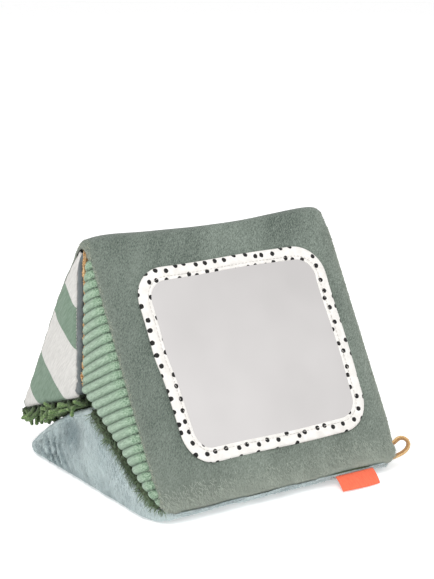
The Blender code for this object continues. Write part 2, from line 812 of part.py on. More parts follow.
def label_tab(name, finish, carrier):
    """A folded ribbon tab that hangs out of the seam between the front and the base."""
    angle = math.pi + LABEL_DROOP - LABEL_CURL / 2
    _, nose_run, _ = BASE.face(0)
    place = FRONT_SEAM + nose_run * LABEL_DROP + outward(nose_run) * (SEAM_GAP + LABEL_THICKNESS / 4)
    points, upper, lower = [], [], []
    for _ in range(LABEL_STEPS + 1):
        across = outward(slant(angle))
        for half, rows in ((LABEL_THICKNESS / 2, upper), (-LABEL_THICKNESS / 2, lower)):
            edge = place + across * half
            rows.append([len(points), len(points) + 1])
            for side in (-0.5, 0.5):
                points.append(Vector((LABEL_CENTRE_X + side * LABEL_WIDTH, edge.x, edge.y)))
        angle += LABEL_CURL / LABEL_STEPS
        place = place + slant(angle) * LABEL_LENGTH / LABEL_STEPS
    return solid(name, points, panel_faces(upper, lower), finish, carrier)


def cord_loop(name, finish, carrier):
    """A loop of cord sewn into the right end of the front wedge, above its lowest corner."""
    end = FrontEnd()
    up_wedge = (FRONT_UP + FRONT.face(0)[1]).normalized()
    half_depth = LOOP_REACH / (1 - math.cos(LOOP_TURN))
    root_up = LOOP_HALF_WIDTH * math.sin(LOOP_TURN)
    roots = []
    for up in (LOOP_UP - root_up, LOOP_UP + root_up):
        seat = end.place(*along_front(FRONT_SEAM + up_wedge * up), RIB_HEIGHT * RIB_TIP_SHARE)
        roots.append((max(seat.x, HALF_WIDTH - CORNER_TUCK) + SEAM_GAP, up))
    middle_x = max(roots)[0] + LOOP_RADIUS - half_depth * math.cos(LOOP_TURN)
    route = roots[:1]
    for step in range(LOOP_STEPS + 1):
        angle = LOOP_TURN * (2 * step / LOOP_STEPS - 1)
        x = middle_x + half_depth * math.cos(angle)
        route.append((x, LOOP_UP + LOOP_HALF_WIDTH * math.sin(angle)))
    route += roots[1:]
    curve = bpy.data.curves.new(name, "CURVE")
    curve.dimensions = "3D"
    curve.bevel_depth = LOOP_RADIUS
    curve.bevel_resolution = 2
    curve.use_fill_caps = True
    spline = curve.splines.new("POLY")
    spline.points.add(len(route) - 1)
    for spot, (x, up) in zip(spline.points, route):
        place = FRONT_SEAM + up_wedge * up
        spot.co = (*(Vector((x, place.x, place.y)) - world_place(carrier)), 1.0)
    curve.materials.append(finish)
    made = bpy.data.objects.new(name, curve)
    bpy.context.collection.objects.link(made)
    made.parent = carrier
    return made


def build():
    clear_scene()
    foam = material("foam", (0.80, 0.78, 0.72), 0.95)
    sage_plush = material("sage_plush", (0.23, 0.29, 0.25), 0.90)
    mint_corduroy = material("mint_corduroy", (0.38, 0.56, 0.42), 0.90)
    tan_boucle = material("tan_boucle", (0.66, 0.42, 0.19), 0.95)
    blue_plush = material("blue_plush", (0.38, 0.46, 0.49), 0.90)
    moss_shag = material("moss_shag", (0.11, 0.14, 0.08), 0.95)
    slate_satin = material("slate_satin", (0.15, 0.19, 0.21), 0.45)
    striped_cotton = material("striped_cotton", (0.66, 0.64, 0.62), 0.85)
    noodle_green = material("noodle_green", (0.11, 0.20, 0.07), 0.90)
    dotted_cotton = material("dotted_cotton", (0.86, 0.85, 0.82), 0.80)
    mirror_film = material("mirror_film", (0.85, 0.85, 0.85), 0.08, 1.0)
    board = material("board", (0.75, 0.74, 0.70), 0.80)
    orange_ribbon = material("orange_ribbon", (1.00, 0.19, 0.08), 0.60)
    tan_cord = material("tan_cord", (0.66, 0.43, 0.20), 0.70)

    panel("base_cover", BASE, (0, 1), blue_plush, None)
    panel("base_rear_page", BASE, (2,), blue_plush, None)
    panel("base_front_page", BASE, (3,), moss_shag, None)
    core("base_core", BASE, foam, None)
    gusset("base_end_left", BASE, -1, blue_plush, None)
    gusset("base_end_right", BASE, 1, blue_plush, None)
    label_tab("label_tab", orange_ribbon, None)

    front = hinge_empty("front_hinge", FRONT_SEAM)
    panel("front_cover", FRONT, (2, 3), sage_plush, front)
    panel("front_lower_page", FRONT, (0,), sage_plush, front)
    panel("front_upper_page", FRONT, (1,), tan_boucle, front)
    core("front_core", FRONT, foam, front)
    ribbed_gusset("front_end_left", -1, mint_corduroy, front)
    ribbed_gusset("front_end_right", 1, mint_corduroy, front)
    plate("mirror_backing", SHEET_INSET, BACKING_LOW, BACKING_THICKNESS, board, front)
    plate("mirror_sheet", SHEET_INSET, MIRROR_LOW, MIRROR_THICKNESS, mirror_film, front)
    mirror_frame("mirror_frame", dotted_cotton, front)
    cord_loop("cord_loop", tan_cord, front)
    ridge_band("ridge_band", sage_plush, front)

    back = hinge_empty("ridge_hinge", RIDGE_AXIS, front)
    panel("back_cover", BACK, (2, 3), sage_plush, back)
    panel("back_front_page", BACK, (0,), slate_satin, back)
    noodle_panel("noodle_page", BACK, noodle_green, back)
    core("back_core", BACK, foam, back)
    gusset("back_end_left", BACK, -1, striped_cotton, back)
    gusset("back_end_right", BACK, 1, striped_cotton, back)


build()
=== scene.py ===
"""The looks of the tummy time book: plush, corduroy, satin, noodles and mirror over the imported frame."""

import json
import math
import random

import bpy
import numpy as np
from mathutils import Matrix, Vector


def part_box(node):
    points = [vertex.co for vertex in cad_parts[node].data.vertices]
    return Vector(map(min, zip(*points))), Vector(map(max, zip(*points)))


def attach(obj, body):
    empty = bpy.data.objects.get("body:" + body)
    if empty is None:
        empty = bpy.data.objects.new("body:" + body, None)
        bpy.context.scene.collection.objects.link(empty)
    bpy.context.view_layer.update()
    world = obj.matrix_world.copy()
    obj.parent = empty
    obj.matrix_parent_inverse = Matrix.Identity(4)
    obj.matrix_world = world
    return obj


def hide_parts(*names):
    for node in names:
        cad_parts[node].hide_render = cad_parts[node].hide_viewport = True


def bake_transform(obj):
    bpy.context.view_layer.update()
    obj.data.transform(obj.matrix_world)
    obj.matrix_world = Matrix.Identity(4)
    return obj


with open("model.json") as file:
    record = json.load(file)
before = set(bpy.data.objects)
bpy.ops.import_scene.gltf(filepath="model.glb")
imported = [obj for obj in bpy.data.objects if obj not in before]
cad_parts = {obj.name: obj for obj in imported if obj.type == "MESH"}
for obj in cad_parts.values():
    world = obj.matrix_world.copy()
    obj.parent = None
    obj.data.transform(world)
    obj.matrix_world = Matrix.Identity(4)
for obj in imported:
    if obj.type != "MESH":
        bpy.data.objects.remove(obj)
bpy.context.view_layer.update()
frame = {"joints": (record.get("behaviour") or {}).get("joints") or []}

# The base wedge: blue plush under it, behind it and over both ends, and a shaggy moss page in front.
# Four panels are sewn edge to edge over a foam wedge, and the pile hides the seams. The other two
# wedges are made in the same way, so the pattern for a wedge and its panels is worked out here.
HALF_WIDTH = 0.10275
PAGE_GAP = 0.0016
TUCK_REACH = 0.036
CORNER_ROUND = 0.0125
SEAM_DIP = 0.0008
SEAM_WIDTH = 0.0016
FABRIC = 0.0011
PANEL_STEP = 0.0022
LAP_STEPS = 7
END_STEP = 0.0020
END_OVERLAP = 0.0005
SEAM_SHARE = 0.12
hinges = {joint["name"]: np.array(joint["pos_m"][1:]) for joint in frame["joints"]}
front_seam = hinges["front_fold"]
ridge_axis = hinges["ridge_fold"]
front_up = np.array([math.cos(math.radians(60.0)), math.sin(math.radians(60.0))])
front_out = np.array([-front_up[1], front_up[0]])
front_apex = front_seam + front_up * 0.106 - front_out * 0.0585
base_apex = front_apex - np.array([0.0108, 0.0115])
base_tail = np.array([0.1040, 0.0])
base_nose = np.array([-0.0893, 0.0])


def full(share):
    """An even swelling: nothing at both ends and one in the middle."""
    return 4 * share * (1 - share)


def bell(distance, reach):
    """One at a distance of zero, fading out over the reach."""
    return np.exp(-((distance / reach) ** 2))


def run_along(points):
    """The way from the first of some points in a plane to each of them."""
    return np.concatenate([[0], np.cumsum(np.hypot(*np.diff(points, axis=0).T))])


class Wedge:
    """A wedge's section as corners (Y, Z), anticlockwise, and how its sewn ends are shaped.

    wraps is how far each face's fabric laps onto the ends. bulges is how far each face swells, and
    how much the swelling leans to its far side. The faces in level keep a straight seam all the same.
    The ends swell between the long faces, and tuck draws them in at the front seam.
    """

    def __init__(
        self, body, corners, rounds, wraps, bulges, long_faces, edge_round, swell, spread, level=(), tuck=0,
    ):
        self.body = body
        self.corners = np.array(corners)
        self.rounds = rounds
        self.wraps = np.array(wraps)
        self.bulges = bulges
        self.level = level
        self.edge_round = edge_round
        self.swell = swell
        self.spread = spread
        self.tuck = tuck
        self.sides = []
        for index in long_faces:
            start, run, _ = self.face(index)
            normal = np.array([run[1], -run[0]])
            self.sides.append((normal, normal @ start, wraps[index]))
        (first, place, _), *others = self.sides
        rows = np.array([first - normal for normal, _, _ in others])
        self.centre = np.linalg.solve(rows, np.array([place - other for _, other, _ in others]))
        self.inradius = place - first @ self.centre

    def face(self, index):
        start = self.corners[index]
        run = self.corners[(index + 1) % len(self.corners)] - start
        length = np.hypot(*run)
        return start, run / length, length

    def arc(self, index, step):
        """Points and normals round one corner."""
        before = self.face(index - 1)[1]
        corner, after, _ = self.face(index)
        turn = math.atan2(before[0] * after[1] - before[1] * after[0], before @ after)
        radius = self.rounds[index]
        normal = np.array([before[1], -before[0]])
        middle = corner - before * radius * math.tan(turn / 2) - normal * radius
        start = math.atan2(normal[1], normal[0])
        count = max(2, 2 * round(radius * turn / step / 2))
        angles = start + turn * np.linspace(0, 1, count + 1)
        normals = np.stack([np.cos(angles), np.sin(angles)], 1)
        return middle + normals * radius, normals

    def along(self, faces, step=PANEL_STEP):
        """The way along some faces, from the middle of one corner to the middle of another."""
        count = len(self.corners)
        points, normals = self.arc(faces[0], step)
        half = len(points) // 2
        points, normals = points[half:], normals[half:]
        shares = np.zeros(len(points))
        laps = np.full(len(points), self.wraps[faces[0]])
        for index in faces:
            direction = self.face(index)[1]
            turned, turned_normals = self.arc((index + 1) % count, step)
            middle = len(turned) // 2
            after = [self.wraps[index]] * (middle + 1) + [self.wraps[(index + 1) % count]] * middle
            if index == faces[-1]:
                turned, turned_normals, after = (
                    kept[: middle + 1] for kept in (turned, turned_normals, after)
                )
            span = turned[0] - points[-1]
            share = np.linspace(0, 1, max(1, round(np.hypot(*span) / step)) + 1)[1:-1]
            across = np.tile([direction[1], -direction[0]], (len(share), 1))
            height, lean = self.bulges[index]
            bulge = height * full(share ** lean)
            straight = points[-1] + span * share[:, None] + across * bulge[:, None]
            points = np.concatenate([points, straight, turned])
            normals = np.concatenate([normals, across, turned_normals])
            shares = np.concatenate([shares, share, np.ones(len(turned))])
            laps = np.concatenate([laps, self.wraps[index] + bulge * (index in self.level), after])
        return {
            "point": points,
            "normal": normals,
            "bow": full(shares % 1),
            "run": run_along(points),
            "lap": laps,
            "pull": (self.centre - points) / self.inradius,
        }

    def edge(self, run):
        """Distance from the end plane, inset and tilt towards the end, at runs round the end edge."""
        quarter = self.edge_round * math.pi / 2
        angle = np.minimum(run, quarter) / self.edge_round
        from_end = self.edge_round * (1 - np.sin(angle))
        inset = self.edge_round * (1 - np.cos(angle)) + np.maximum(run - quarter, 0)
        return from_end, inset, angle

    def seam_run(self, wrap):
        """The run round the end edge that reaches an inset."""
        if wrap < self.edge_round:
            return self.edge_round * math.acos(1 - wrap / self.edge_round)
        return self.edge_round * (math.pi / 2 - 1) + wrap

    def drawn(self, spots):
        """How far the end is drawn in near the seam that joins the front and the base."""
        far = np.hypot(*(spots - front_seam).T)
        tuck = self.tuck * np.clip(1 - far / TUCK_REACH, 0, 1) ** 2
        short = np.clip(CORNER_ROUND - far, 0, CORNER_ROUND)
        return tuck + 0.7 * (CORNER_ROUND - np.sqrt(CORNER_ROUND ** 2 - short ** 2))

    def dome(self, spots):
        """How far the end's fabric swells out at section points."""
        share = 1
        for normal, place, wrap in self.sides:
            depth = np.maximum(place - spots @ normal - wrap, 0)
            share = share * (1 - np.exp(-depth / self.spread))
        return self.swell * share


base_wedge = Wedge(
    body="base",
    corners=(front_seam + [0, 0.0001], base_nose, base_tail, base_apex),
    rounds=(0.0008, 0.027, 0.0045, 0.007),
    wraps=(0.0030, 0.0030, 0.0030, 0.0048),
    bulges=((0, 1), (0, 1), (0.0042, 1), (0, 1)),
    long_faces=(1, 2, 3),
    edge_round=0.0050,
    swell=0.0050,
    spread=0.012,
    tuck=0.0068,
)


def ripple(first, second, wavelength, seed):
    """Smooth random waves of about -1 to 1 over two coordinates in metres."""
    chance = random.Random(seed)
    total = 0
    for _ in range(10):
        angle = chance.uniform(0, math.pi)
        turns = 2 * math.pi / (wavelength * chance.uniform(0.7, 1.5))
        phase = chance.uniform(0, 2 * math.pi)
        total = total + np.sin((first * math.cos(angle) + second * math.sin(angle)) * turns + phase)
    return total / 4.5


def grid_faces(rows, columns, closed=False, flip=False):
    """Quads over a grid of points that is stored row by row."""
    i = np.arange(rows - 1)[:, None]
    j = np.arange(columns if closed else columns - 1)[None, :]
    right = (j + 1) % columns
    corners = (i * columns + j, (i + 1) * columns + j, (i + 1) * columns + right, i * columns + right)
    quads = np.stack(corners, -1).reshape(-1, 4)
    return (quads[:, ::-1] if flip else quads).tolist()


def ring_faces(rows, count, flip=False):
    """Quads round a tube of rings, and one face over each end."""
    near, far = list(range(count)), list(range((rows - 1) * count, rows * count))
    ends = [near[::-1], far] if flip else [near, far[::-1]]
    return grid_faces(rows, count, closed=True, flip=flip) + ends


def piece(name, points, faces, finish, body, *nodes):
    """A smooth mesh that rides on a body and stands for the CAD nodes named."""
    mesh = bpy.data.meshes.new(name)
    mesh.from_pydata(np.asarray(points).tolist(), [], faces)
    mesh.shade_smooth()
    mesh.materials.append(finish.material)
    made = bpy.data.objects.new(name, mesh)
    bpy.context.scene.collection.objects.link(made)
    if body:
        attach(made, body)
    if nodes:
        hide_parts(*nodes)
    return made


def note(made, **layers):
    """Writes numbers for each point, which the materials read."""
    for name, values in layers.items():
        layer = made.data.attributes.new(name, "FLOAT", "POINT")
        layer.data.foreach_set("value", np.asarray(values, np.float32).ravel())


def stuffed(made):
    thickness = made.modifiers.new("fabric", "SOLIDIFY")
    thickness.thickness = FABRIC
    thickness.offset = -1
    return made


def held(x):
    """A crown is held down where its panel is sewn to the ends."""
    return 1 - np.exp(-np.maximum(HALF_WIDTH - np.abs(x), 0) / 0.010)


def panel(name, wedge, line, lift, finish, *nodes, crown=0, step=PANEL_STEP, rides=True):
    """A sewn panel over a line of the section, lapped round both ends as far as its seams.

    The line's bow times the crown swells it, and lift(run, across, edge) adds its creases and lumps.
    """
    seam = np.array([wedge.seam_run(lap) for lap in line["lap"]])
    flat = HALF_WIDTH - wedge.edge_round
    inner = np.linspace(-flat, flat, round(2 * flat / step) + 1)
    lapped = np.linspace(0, 1, LAP_STEPS)[1:]
    columns = [(x, 0) for x in inner]
    columns = [(-1, share) for share in lapped[::-1]] + columns + [(1, share) for share in lapped]
    grid, normals, across = [], [], []
    for place, share in columns:
        side = math.copysign(1, place)
        from_end, inset, angle = wedge.edge(seam * share)
        x = side * (HALF_WIDTH - from_end) if share else np.full(len(seam), place)
        spot = line["point"] + line["normal"] * (crown * line["bow"] * held(x))[:, None]
        spot = spot + line["pull"] * inset[:, None]
        x = x * (1 - wedge.drawn(spot) / HALF_WIDTH)
        grid.append(np.column_stack([x, spot]))
        normals.append(np.column_stack([side * np.sin(angle), line["normal"] * np.cos(angle)[:, None]]))
        across.append(side * (np.abs(x) + seam * share))
    grid, normals, across = (np.stack(kept, 1) for kept in (grid, normals, across))
    run = np.broadcast_to(line["run"][:, None], across.shape)
    reach = np.abs(across[:, :1])
    edge = np.minimum(np.minimum(run, line["run"][-1] - run) + SEAM_WIDTH, reach - np.abs(across))
    grid = grid + normals * lift(run, across, edge)[..., None]
    body = wedge.body if rides else None
    made = piece(name, grid.reshape(-1, 3), grid_faces(*grid.shape[:2]), finish, body, *nodes)
    note(made, rim=edge)
    return stuffed(made)


def end_panel(name, wedge, side, lift, finish, node, sunk=0.0012):
    """A sewn end: rings drawn in from the seams to the middle, swelling out between them."""
    line = wedge.along(tuple(range(len(wedge.corners))), END_STEP)
    start = np.array([wedge.seam_run(lap - END_OVERLAP) for lap in line["lap"][:-1]])
    point, pull = line["point"][:-1], line["pull"][:-1]
    deepest = wedge.inradius + wedge.edge_round * (math.pi / 2 - 1)
    inner = np.linspace(SEAM_SHARE, 0.985, round(wedge.inradius / END_STEP) + 1)
    shares = np.concatenate([np.linspace(0, SEAM_SHARE, 6), inner[1:]])
    rings, depths = [], []
    for share in shares:
        run = start + (deepest - start) * share
        from_end, inset, _ = wedge.edge(run)
        spot = point + pull * inset[:, None]
        depth = run - start
        x = HALF_WIDTH - from_end + wedge.dome(spot) + lift(spot[:, 0], spot[:, 1], depth)
        x = x * (1 - wedge.drawn(spot) / HALF_WIDTH) - sunk * bell(depth, SEAM_WIDTH)
        rings.append(np.column_stack([side * x, spot]))
        depths.append(depth)
    grid = np.stack(rings)
    count = grid.shape[1]
    points = np.concatenate([grid.reshape(-1, 3), grid[-1].mean(axis=0)[None]])
    faces = grid_faces(len(shares), count, closed=True, flip=side > 0)
    last = (len(shares) - 1) * count
    for i in range(count):
        tip = [last + i, last + (i + 1) % count, len(points) - 1]
        faces.append(tip if side > 0 else tip[::-1])
    made = piece(name, points, faces, finish, wedge.body, node)
    note(made, rim=[*np.concatenate(depths), deepest])
    return stuffed(made)


class Finish:
    """A procedural material whose texture lies in the piece's own metres."""

    def __init__(self, name, roughness, sheen=0.0, metallic=0.0):
        self.material = bpy.data.materials.new(name)
        self.material.use_nodes = True
        self.tree = self.material.node_tree
        self.shader = self.tree.nodes["Principled BSDF"]
        values = {"Roughness": roughness, "Metallic": metallic, "Sheen Weight": sheen, "Sheen Roughness": 0.5}
        for socket, value in values.items():
            self.shader.inputs[socket].default_value = value
        self.place = self.node("TexCoord").outputs["Object"]

    def node(self, kind, inputs=(), **settings):
        made = self.tree.nodes.new(f"ShaderNode{kind}")
        for key, value in settings.items():
            setattr(made, key, value)
        for key, value in dict(inputs).items():
            self.feed(made.inputs[key], value)
        return made

    def feed(self, socket, value):
        if isinstance(value, bpy.types.NodeSocket):
            self.tree.links.new(value, socket)
        else:
            socket.default_value = value

    def maths(self, operation, *values):
        return self.node("Math", enumerate(values), operation=operation).outputs[0]

    def plus(self, first, second):
        return self.maths("ADD", first, second)

    def times(self, first, second):
        return self.maths("MULTIPLY", first, second)

    def noted(self, name):
        """A number that the mesh carries for each point."""
        return self.node("Attribute", attribute_name=name).outputs["Fac"]

    def turned(self, stretch, about_x=0.0, about_y=0.0):
        """Places seen from axes that are turned by some degrees, and stretched along them."""
        turn = (math.radians(about_x), math.radians(about_y), 0)
        inputs = {"Vector": self.place, "Rotation": turn, "Scale": stretch}
        return self.node("Mapping", inputs, vector_type="TEXTURE").outputs[0]

    def split(self, vector=None):
        return self.node("SeparateXYZ", {"Vector": vector or self.place}).outputs

    def noise(self, size, detail=2.0, rough=0.55, vector=None):
        inputs = {"Vector": vector or self.place, "Scale": 1 / size, "Detail": detail, "Roughness": rough}
        return self.node("TexNoise", inputs).outputs["Fac"]

    def ramp(self, factor, *stops):
        """Colours in sRGB from 0 to 255 at places from 0 to 1."""
        made = self.node("ValToRGB", {"Fac": factor})
        elements = made.color_ramp.elements
        while len(elements) < len(stops):
            elements.new(0.5)
        for element, (place, colour) in zip(elements, stops):
            element.position = place
            element.color = srgb(*colour)
        return made.outputs[0]

    def mix(self, factor, first, second, blend="MIX"):
        inputs = {0: factor, 6: first, 7: second}
        return self.node("Mix", inputs, data_type="RGBA", blend_type=blend).outputs[2]

    def falloff(self, name, reach):
        """One at a noted distance of zero, fading out over the reach."""
        return self.maths("EXPONENT", self.times(self.noted(name), -1 / reach))

    def bump(self, height, distance, strength=1.0):
        inputs = {"Strength": strength, "Distance": distance, "Height": height}
        made = self.node("Bump", inputs)
        if self.shader.inputs["Normal"].links:
            self.feed(made.inputs["Normal"], self.shader.inputs["Normal"].links[0].from_socket)
        self.feed(self.shader.inputs["Normal"], made.outputs[0])

    def colour(self, value):
        self.feed(self.shader.inputs["Base Color"], value)

    def coloured(self):
        """The colour so far, to be mixed with more."""
        return self.shader.inputs["Base Color"].links[0].from_socket

    def grained(self, grain, depth, *stops, strength=1.0):
        """One grain colours the whole piece and raises its surface."""
        self.colour(self.ramp(grain, *stops))
        self.bump(grain, depth, strength)


def srgb(*colour):
    """A colour of 0 to 255 as the linear shares that a socket takes."""
    shares = [value / 255 for value in colour]
    return (*(share / 12.92 if share <= 0.04045 else ((share + 0.055) / 1.055) ** 2.4 for share in shares), 1)


def plush(
    name, dark, light, worn,
    nap=0.0, aslant=0.0, stretch=1.0, grain=0.0013, patch=0.018, share=0.4, soft=0.09,
):
    """Dense pile: tufts as fine as the grain, broad patches where the nap lies over, and brushed rims.

    nap and aslant are the angles that the pile's own axes are turned by, and stretch is how far it is
    combed out. A smaller soft gives harder changes between dark and light.
    """
    made = Finish(name, 0.92, 0.2)
    combed = made.turned((1, 1, stretch), nap, aslant)
    fine = made.noise(grain, 4.0, 0.75, combed)
    broad = made.noise(patch, 3.0, 0.6, combed)
    tone = made.plus(made.times(fine, 1 - share), made.times(broad, share))
    base = made.ramp(tone, (0.5 - soft, dark), (0.5 + soft, light))
    rim = made.times(made.falloff("rim", 0.0050), made.times(fine, 1.3))
    made.colour(made.mix(rim, base, srgb(*worn)))
    made.bump(fine, 0.0009, 0.9)
    return made


def soft_lift(seed, lump, wavelength=0.055, dip=SEAM_DIP):
    """Lumps of the filling, small puckers near the seams, and the dip of the seams themselves."""
    def lift(run, across, edge):
        lumps = lump * ripple(run, across, wavelength, seed) * np.clip(edge / 0.02, 0, 1)
        puckers = 0.35 * lump * ripple(run, across * 0.4, 0.012, seed + 1) * bell(edge, 0.008)
        return lumps + puckers - dip * bell(edge, SEAM_WIDTH)
    return lift


blue = plush(
    "blue_plush", (116, 138, 142), (200, 213, 212), (190, 204, 205),
    nap=-39, stretch=3.0, patch=0.022, share=0.5,
)
moss = plush("moss_shag", (38, 48, 26), (92, 104, 74), (70, 82, 56), nap=-39, stretch=3.0)
BASE_REAR_CROWN = 0.0012
BASE_FRONT_CROWN = 0.0025
underside = panel(
    "base_underside", base_wedge, base_wedge.along((0, 1)),
    soft_lift(3, 0.0008, wavelength=0.035, dip=0), blue, "base_cover",
)
rear_page = panel(
    "base_rear_plush", base_wedge, base_wedge.along((2,)), soft_lift(5, 0.0008, dip=0), blue,
    "base_rear_page", crown=BASE_REAR_CROWN,
)
moss_page = panel(
    "base_front_shag", base_wedge, base_wedge.along((3,)), soft_lift(8, 0.0003), moss,
    "base_front_page", crown=BASE_FRONT_CROWN,
)


# The pile on the ends lies over in furrows out of the rear corner and in one hollow near the top. Painted
# shade darkens the furrows, and the noodles' shadow is painted over the hollow.
FURROW_LEAN = -0.73
FURROW_PITCH = 0.0019


def paint_end_shade(finish):
    """Painted shade: darkens the furrows, and paints the noodles' shadow over the hollow."""
    x, y, z = finish.split()

    def near(middle, reach):
        total = 0
        for value, centre, size in zip((y, z), middle, reach):
            away = finish.maths("DIVIDE", finish.maths("SUBTRACT", value, centre), size)
            total = finish.plus(finish.times(away, away), total)
        return finish.maths("EXPONENT", finish.times(total, -1))

    # Painted shade along the furrows.
    phase = finish.plus(finish.times(z, FURROW_LEAN), y)
    dips = finish.times(finish.maths("SINE", finish.maths("DIVIDE", phase, FURROW_PITCH)), -0.7)
    furrow_shade = finish.times(finish.plus(dips, 0.35), near((0.047, 0.010), (0.024, 0.015)))
    # Painted shadow of the noodles over the hollow near the top.
    hollow = finish.times(near((0.020, 0.034), (0.017, 0.011)), 0.62)
    at_end = finish.maths("GREATER_THAN", finish.maths("ABSOLUTE", x), HALF_WIDTH - 0.006)
    shade = finish.times(finish.maths("MAXIMUM", hollow, furrow_shade), at_end)
    # The painted shade and shadow are mixed towards this grey blue.
    finish.colour(finish.mix(finish.times(shade, 0.85), finish.coloured(), srgb(92, 118, 126)))


def blue_furrows(y, z, depth):
    """Soft furrows that fan out of the rear corner, and a hollow below the top one."""
    gone = np.hypot(y - base_tail[0], z - base_tail[1])
    fan = 0.0016 * np.sin((y + FURROW_LEAN * z) / FURROW_PITCH) * bell(gone - 0.053, 0.019)
    hollow = -0.0026 * np.exp(-(((y - 0.020) / 0.016) ** 2) - (((z - 0.037) / 0.010) ** 2))
    lumps = 0.0010 * ripple(y, z, 0.030, 12)
    return (fan + hollow + lumps) * np.clip(depth / 0.006, 0, 1)


paint_end_shade(blue)
SIDES = ((-1, "left"), (1, "right"))
base_ends = {
    word: end_panel(
        f"base_end_{word}_plush", base_wedge, side, blue_furrows, blue, f"base_end_{word}", sunk=0.0001,
    )
    for side, word in SIDES
}


def filling(name, wedge, finish, node):
    """The stuffing inside a wedge, just under its fabric."""
    line = wedge.along(tuple(range(len(wedge.corners))), 0.006)
    point, pull = line["point"][:-1], line["pull"][:-1]
    from_end, inset, _ = wedge.edge(np.linspace(0, wedge.edge_round * math.pi / 2, 4))
    ends = HALF_WIDTH - from_end
    between = np.linspace(-ends[0], ends[0], 15)[1:-1]
    rings = [
        np.column_stack([np.full(len(point), x * 0.972), point + pull * (depth + 2 * FABRIC)])
        for x, depth in zip([*-ends[::-1], *between, *ends], [*inset[::-1], *(0 * between), *inset])
    ]
    faces = ring_faces(len(rings), len(point), flip=True)
    piece(name, np.concatenate(rings), faces, finish, wedge.body, node)


foam = Finish("foam", 0.95)
foam.grained(foam.noise(0.0016, 4.0, 0.7), 0.0008, (0.3, (196, 190, 176)), (0.7, (234, 230, 220)))
filling("base_filling", base_wedge, foam, "base_core")


def roots_on(made, spacing, seed):
    """Random places and normals over a panel, about one for each square of the spacing."""
    mesh = made.data
    mesh.calc_loop_triangles()
    points = np.empty(len(mesh.vertices) * 3)
    mesh.vertices.foreach_get("co", points)
    triangles = np.empty(len(mesh.loop_triangles) * 3, int)
    mesh.loop_triangles.foreach_get("vertices", triangles)
    corners = points.reshape(-1, 3)[triangles.reshape(-1, 3)]
    spans = corners[:, 1:] - corners[:, :1]
    cross = np.cross(spans[:, 0], spans[:, 1])
    areas = np.linalg.norm(cross, axis=1) / 2
    rng = np.random.default_rng(seed)
    chosen = rng.choice(len(areas), int(areas.sum() / spacing ** 2), p=areas / areas.sum())
    shares = rng.random((len(chosen), 2))
    over = shares.sum(axis=1) > 1
    shares[over] = 1 - shares[over]
    roots = corners[chosen, 0] + np.sum(spans[chosen] * shares[..., None], axis=1)
    return roots, cross[chosen] / (2 * areas[chosen])[:, None]


def pile(name, roots, normals, finish, body, nap, length, width, rise, seed, stray=0.35, joints=3):
    """Fibres as thin curved ribbons that stand up from the fabric and lie over along the nap."""
    rng = np.random.default_rng(seed)
    clumps = [ripple(roots[:, 1] + roots[:, 0], roots[:, 2], 0.009, seed + axis) for axis in range(3)]
    lean = nap + 0.4 * np.stack(clumps, 1) + rng.normal(0, stray, roots.shape)
    lean -= normals * np.sum(lean * normals, axis=1)[:, None]
    lean /= np.linalg.norm(lean, axis=1)[:, None]
    lengths = length * rng.uniform(0.6, 1.1, (len(roots), 1))
    facing = np.cross(normals, lean)
    steps = []
    for step in range(joints + 1):
        share = step / joints
        spine = roots + (normals * rise * share * (1 - 0.4 * share) + lean * 0.9 * share ** 1.3) * lengths
        half = facing * width * (1 - 0.8 * share ** 2) / 2
        steps.append(np.stack([spine - half, spine + half], 1))
    strands = np.stack(steps, 1).reshape(-1, 3)
    strands[:, 2] = np.maximum(strands[:, 2], 0.0002)
    first = np.arange(len(roots))[:, None] * 2 * (joints + 1)
    faces = np.concatenate([first + [2 * s, 2 * s + 2, 2 * s + 3, 2 * s + 1] for s in range(joints)])
    return piece(name, strands, faces.tolist(), finish, body)


blue_pile = plush(
    "blue_pile", (124, 150, 156), (240, 250, 250), (216, 230, 230),
    nap=-39, stretch=4.0, patch=0.024, share=0.55, soft=0.08,
)
paint_end_shade(blue_pile)
for word, end in base_ends.items():
    pile(
        f"base_pile_{word}", *roots_on(end, 0.00080, 20), blue_pile, "base",
        nap=(0, -0.60, -0.75), length=0.0040, width=0.00034, rise=0.40, seed=31,
    )
for made, seed in ((rear_page, 41), (underside, 42)):
    roots, normals = roots_on(made, 0.0012, seed)
    kept = (roots[:, 2] > 0.0035) & (np.abs(roots[:, 0]) < 0.099)
    pile(
        f"{made.name}_pile", roots[kept], normals[kept], blue_pile, "base",
        nap=(0.25, 0.1, -0.9), length=0.0030, width=0.00036, rise=0.45, seed=seed + 50,
    )
moss_pile = plush("moss_pile", (42, 64, 36), (150, 172, 136), (92, 112, 80), nap=-39, stretch=4.0, soft=0.07)
roots, normals = roots_on(moss_page, 0.0011, 61)
lapped = np.abs(roots[:, 0]) > 0.094
clear = (roots[:, 1] > front_seam[0] + 0.010) | (lapped & (roots[:, 1] > front_seam[0] + 0.003))
pile(
    "moss_pile", roots[clear], normals[clear], moss_pile, "base",
    nap=(0, -0.3, -0.75), length=0.0064, width=0.00055, rise=0.85, seed=62, stray=0.6,
)

# The front wedge's cover and pages: one piece of sage plush runs from the base seam up the front, over the
# ridge and down the back. Inside are a nubby tan page above and a plain sage one below, all sewn to the same
# foam wedge.
FRONT_LENGTH = 0.191
BACK_LENGTH = 0.1755
BACK_PAGE_LENGTH = 0.1085
RIDGE_ROUND = 0.005
FRONT_CROWN = 0.0015
BACK_CROWN = 0.0006
LOWER_HOLLOW = 0.0030
PAGE_PRESS = 0.0024
COVER_LAP = 0.0017
RIDGE_BUMPS = ((0.0022, -0.080, 0.026), (0.0018, 0.086, 0.020), (-0.0014, 0.005, 0.036))
LABEL_PLACE = HALF_WIDTH - 0.0445
back_down = np.array([math.cos(math.radians(-56.2)), math.sin(math.radians(-56.2))])
back_out = np.array([-back_down[1], back_down[0]])
front_foot = front_seam + front_up * FRONT_LENGTH
back_foot = ridge_axis + back_out * RIDGE_ROUND
page_down = front_apex + [PAGE_GAP, 0] - ridge_axis
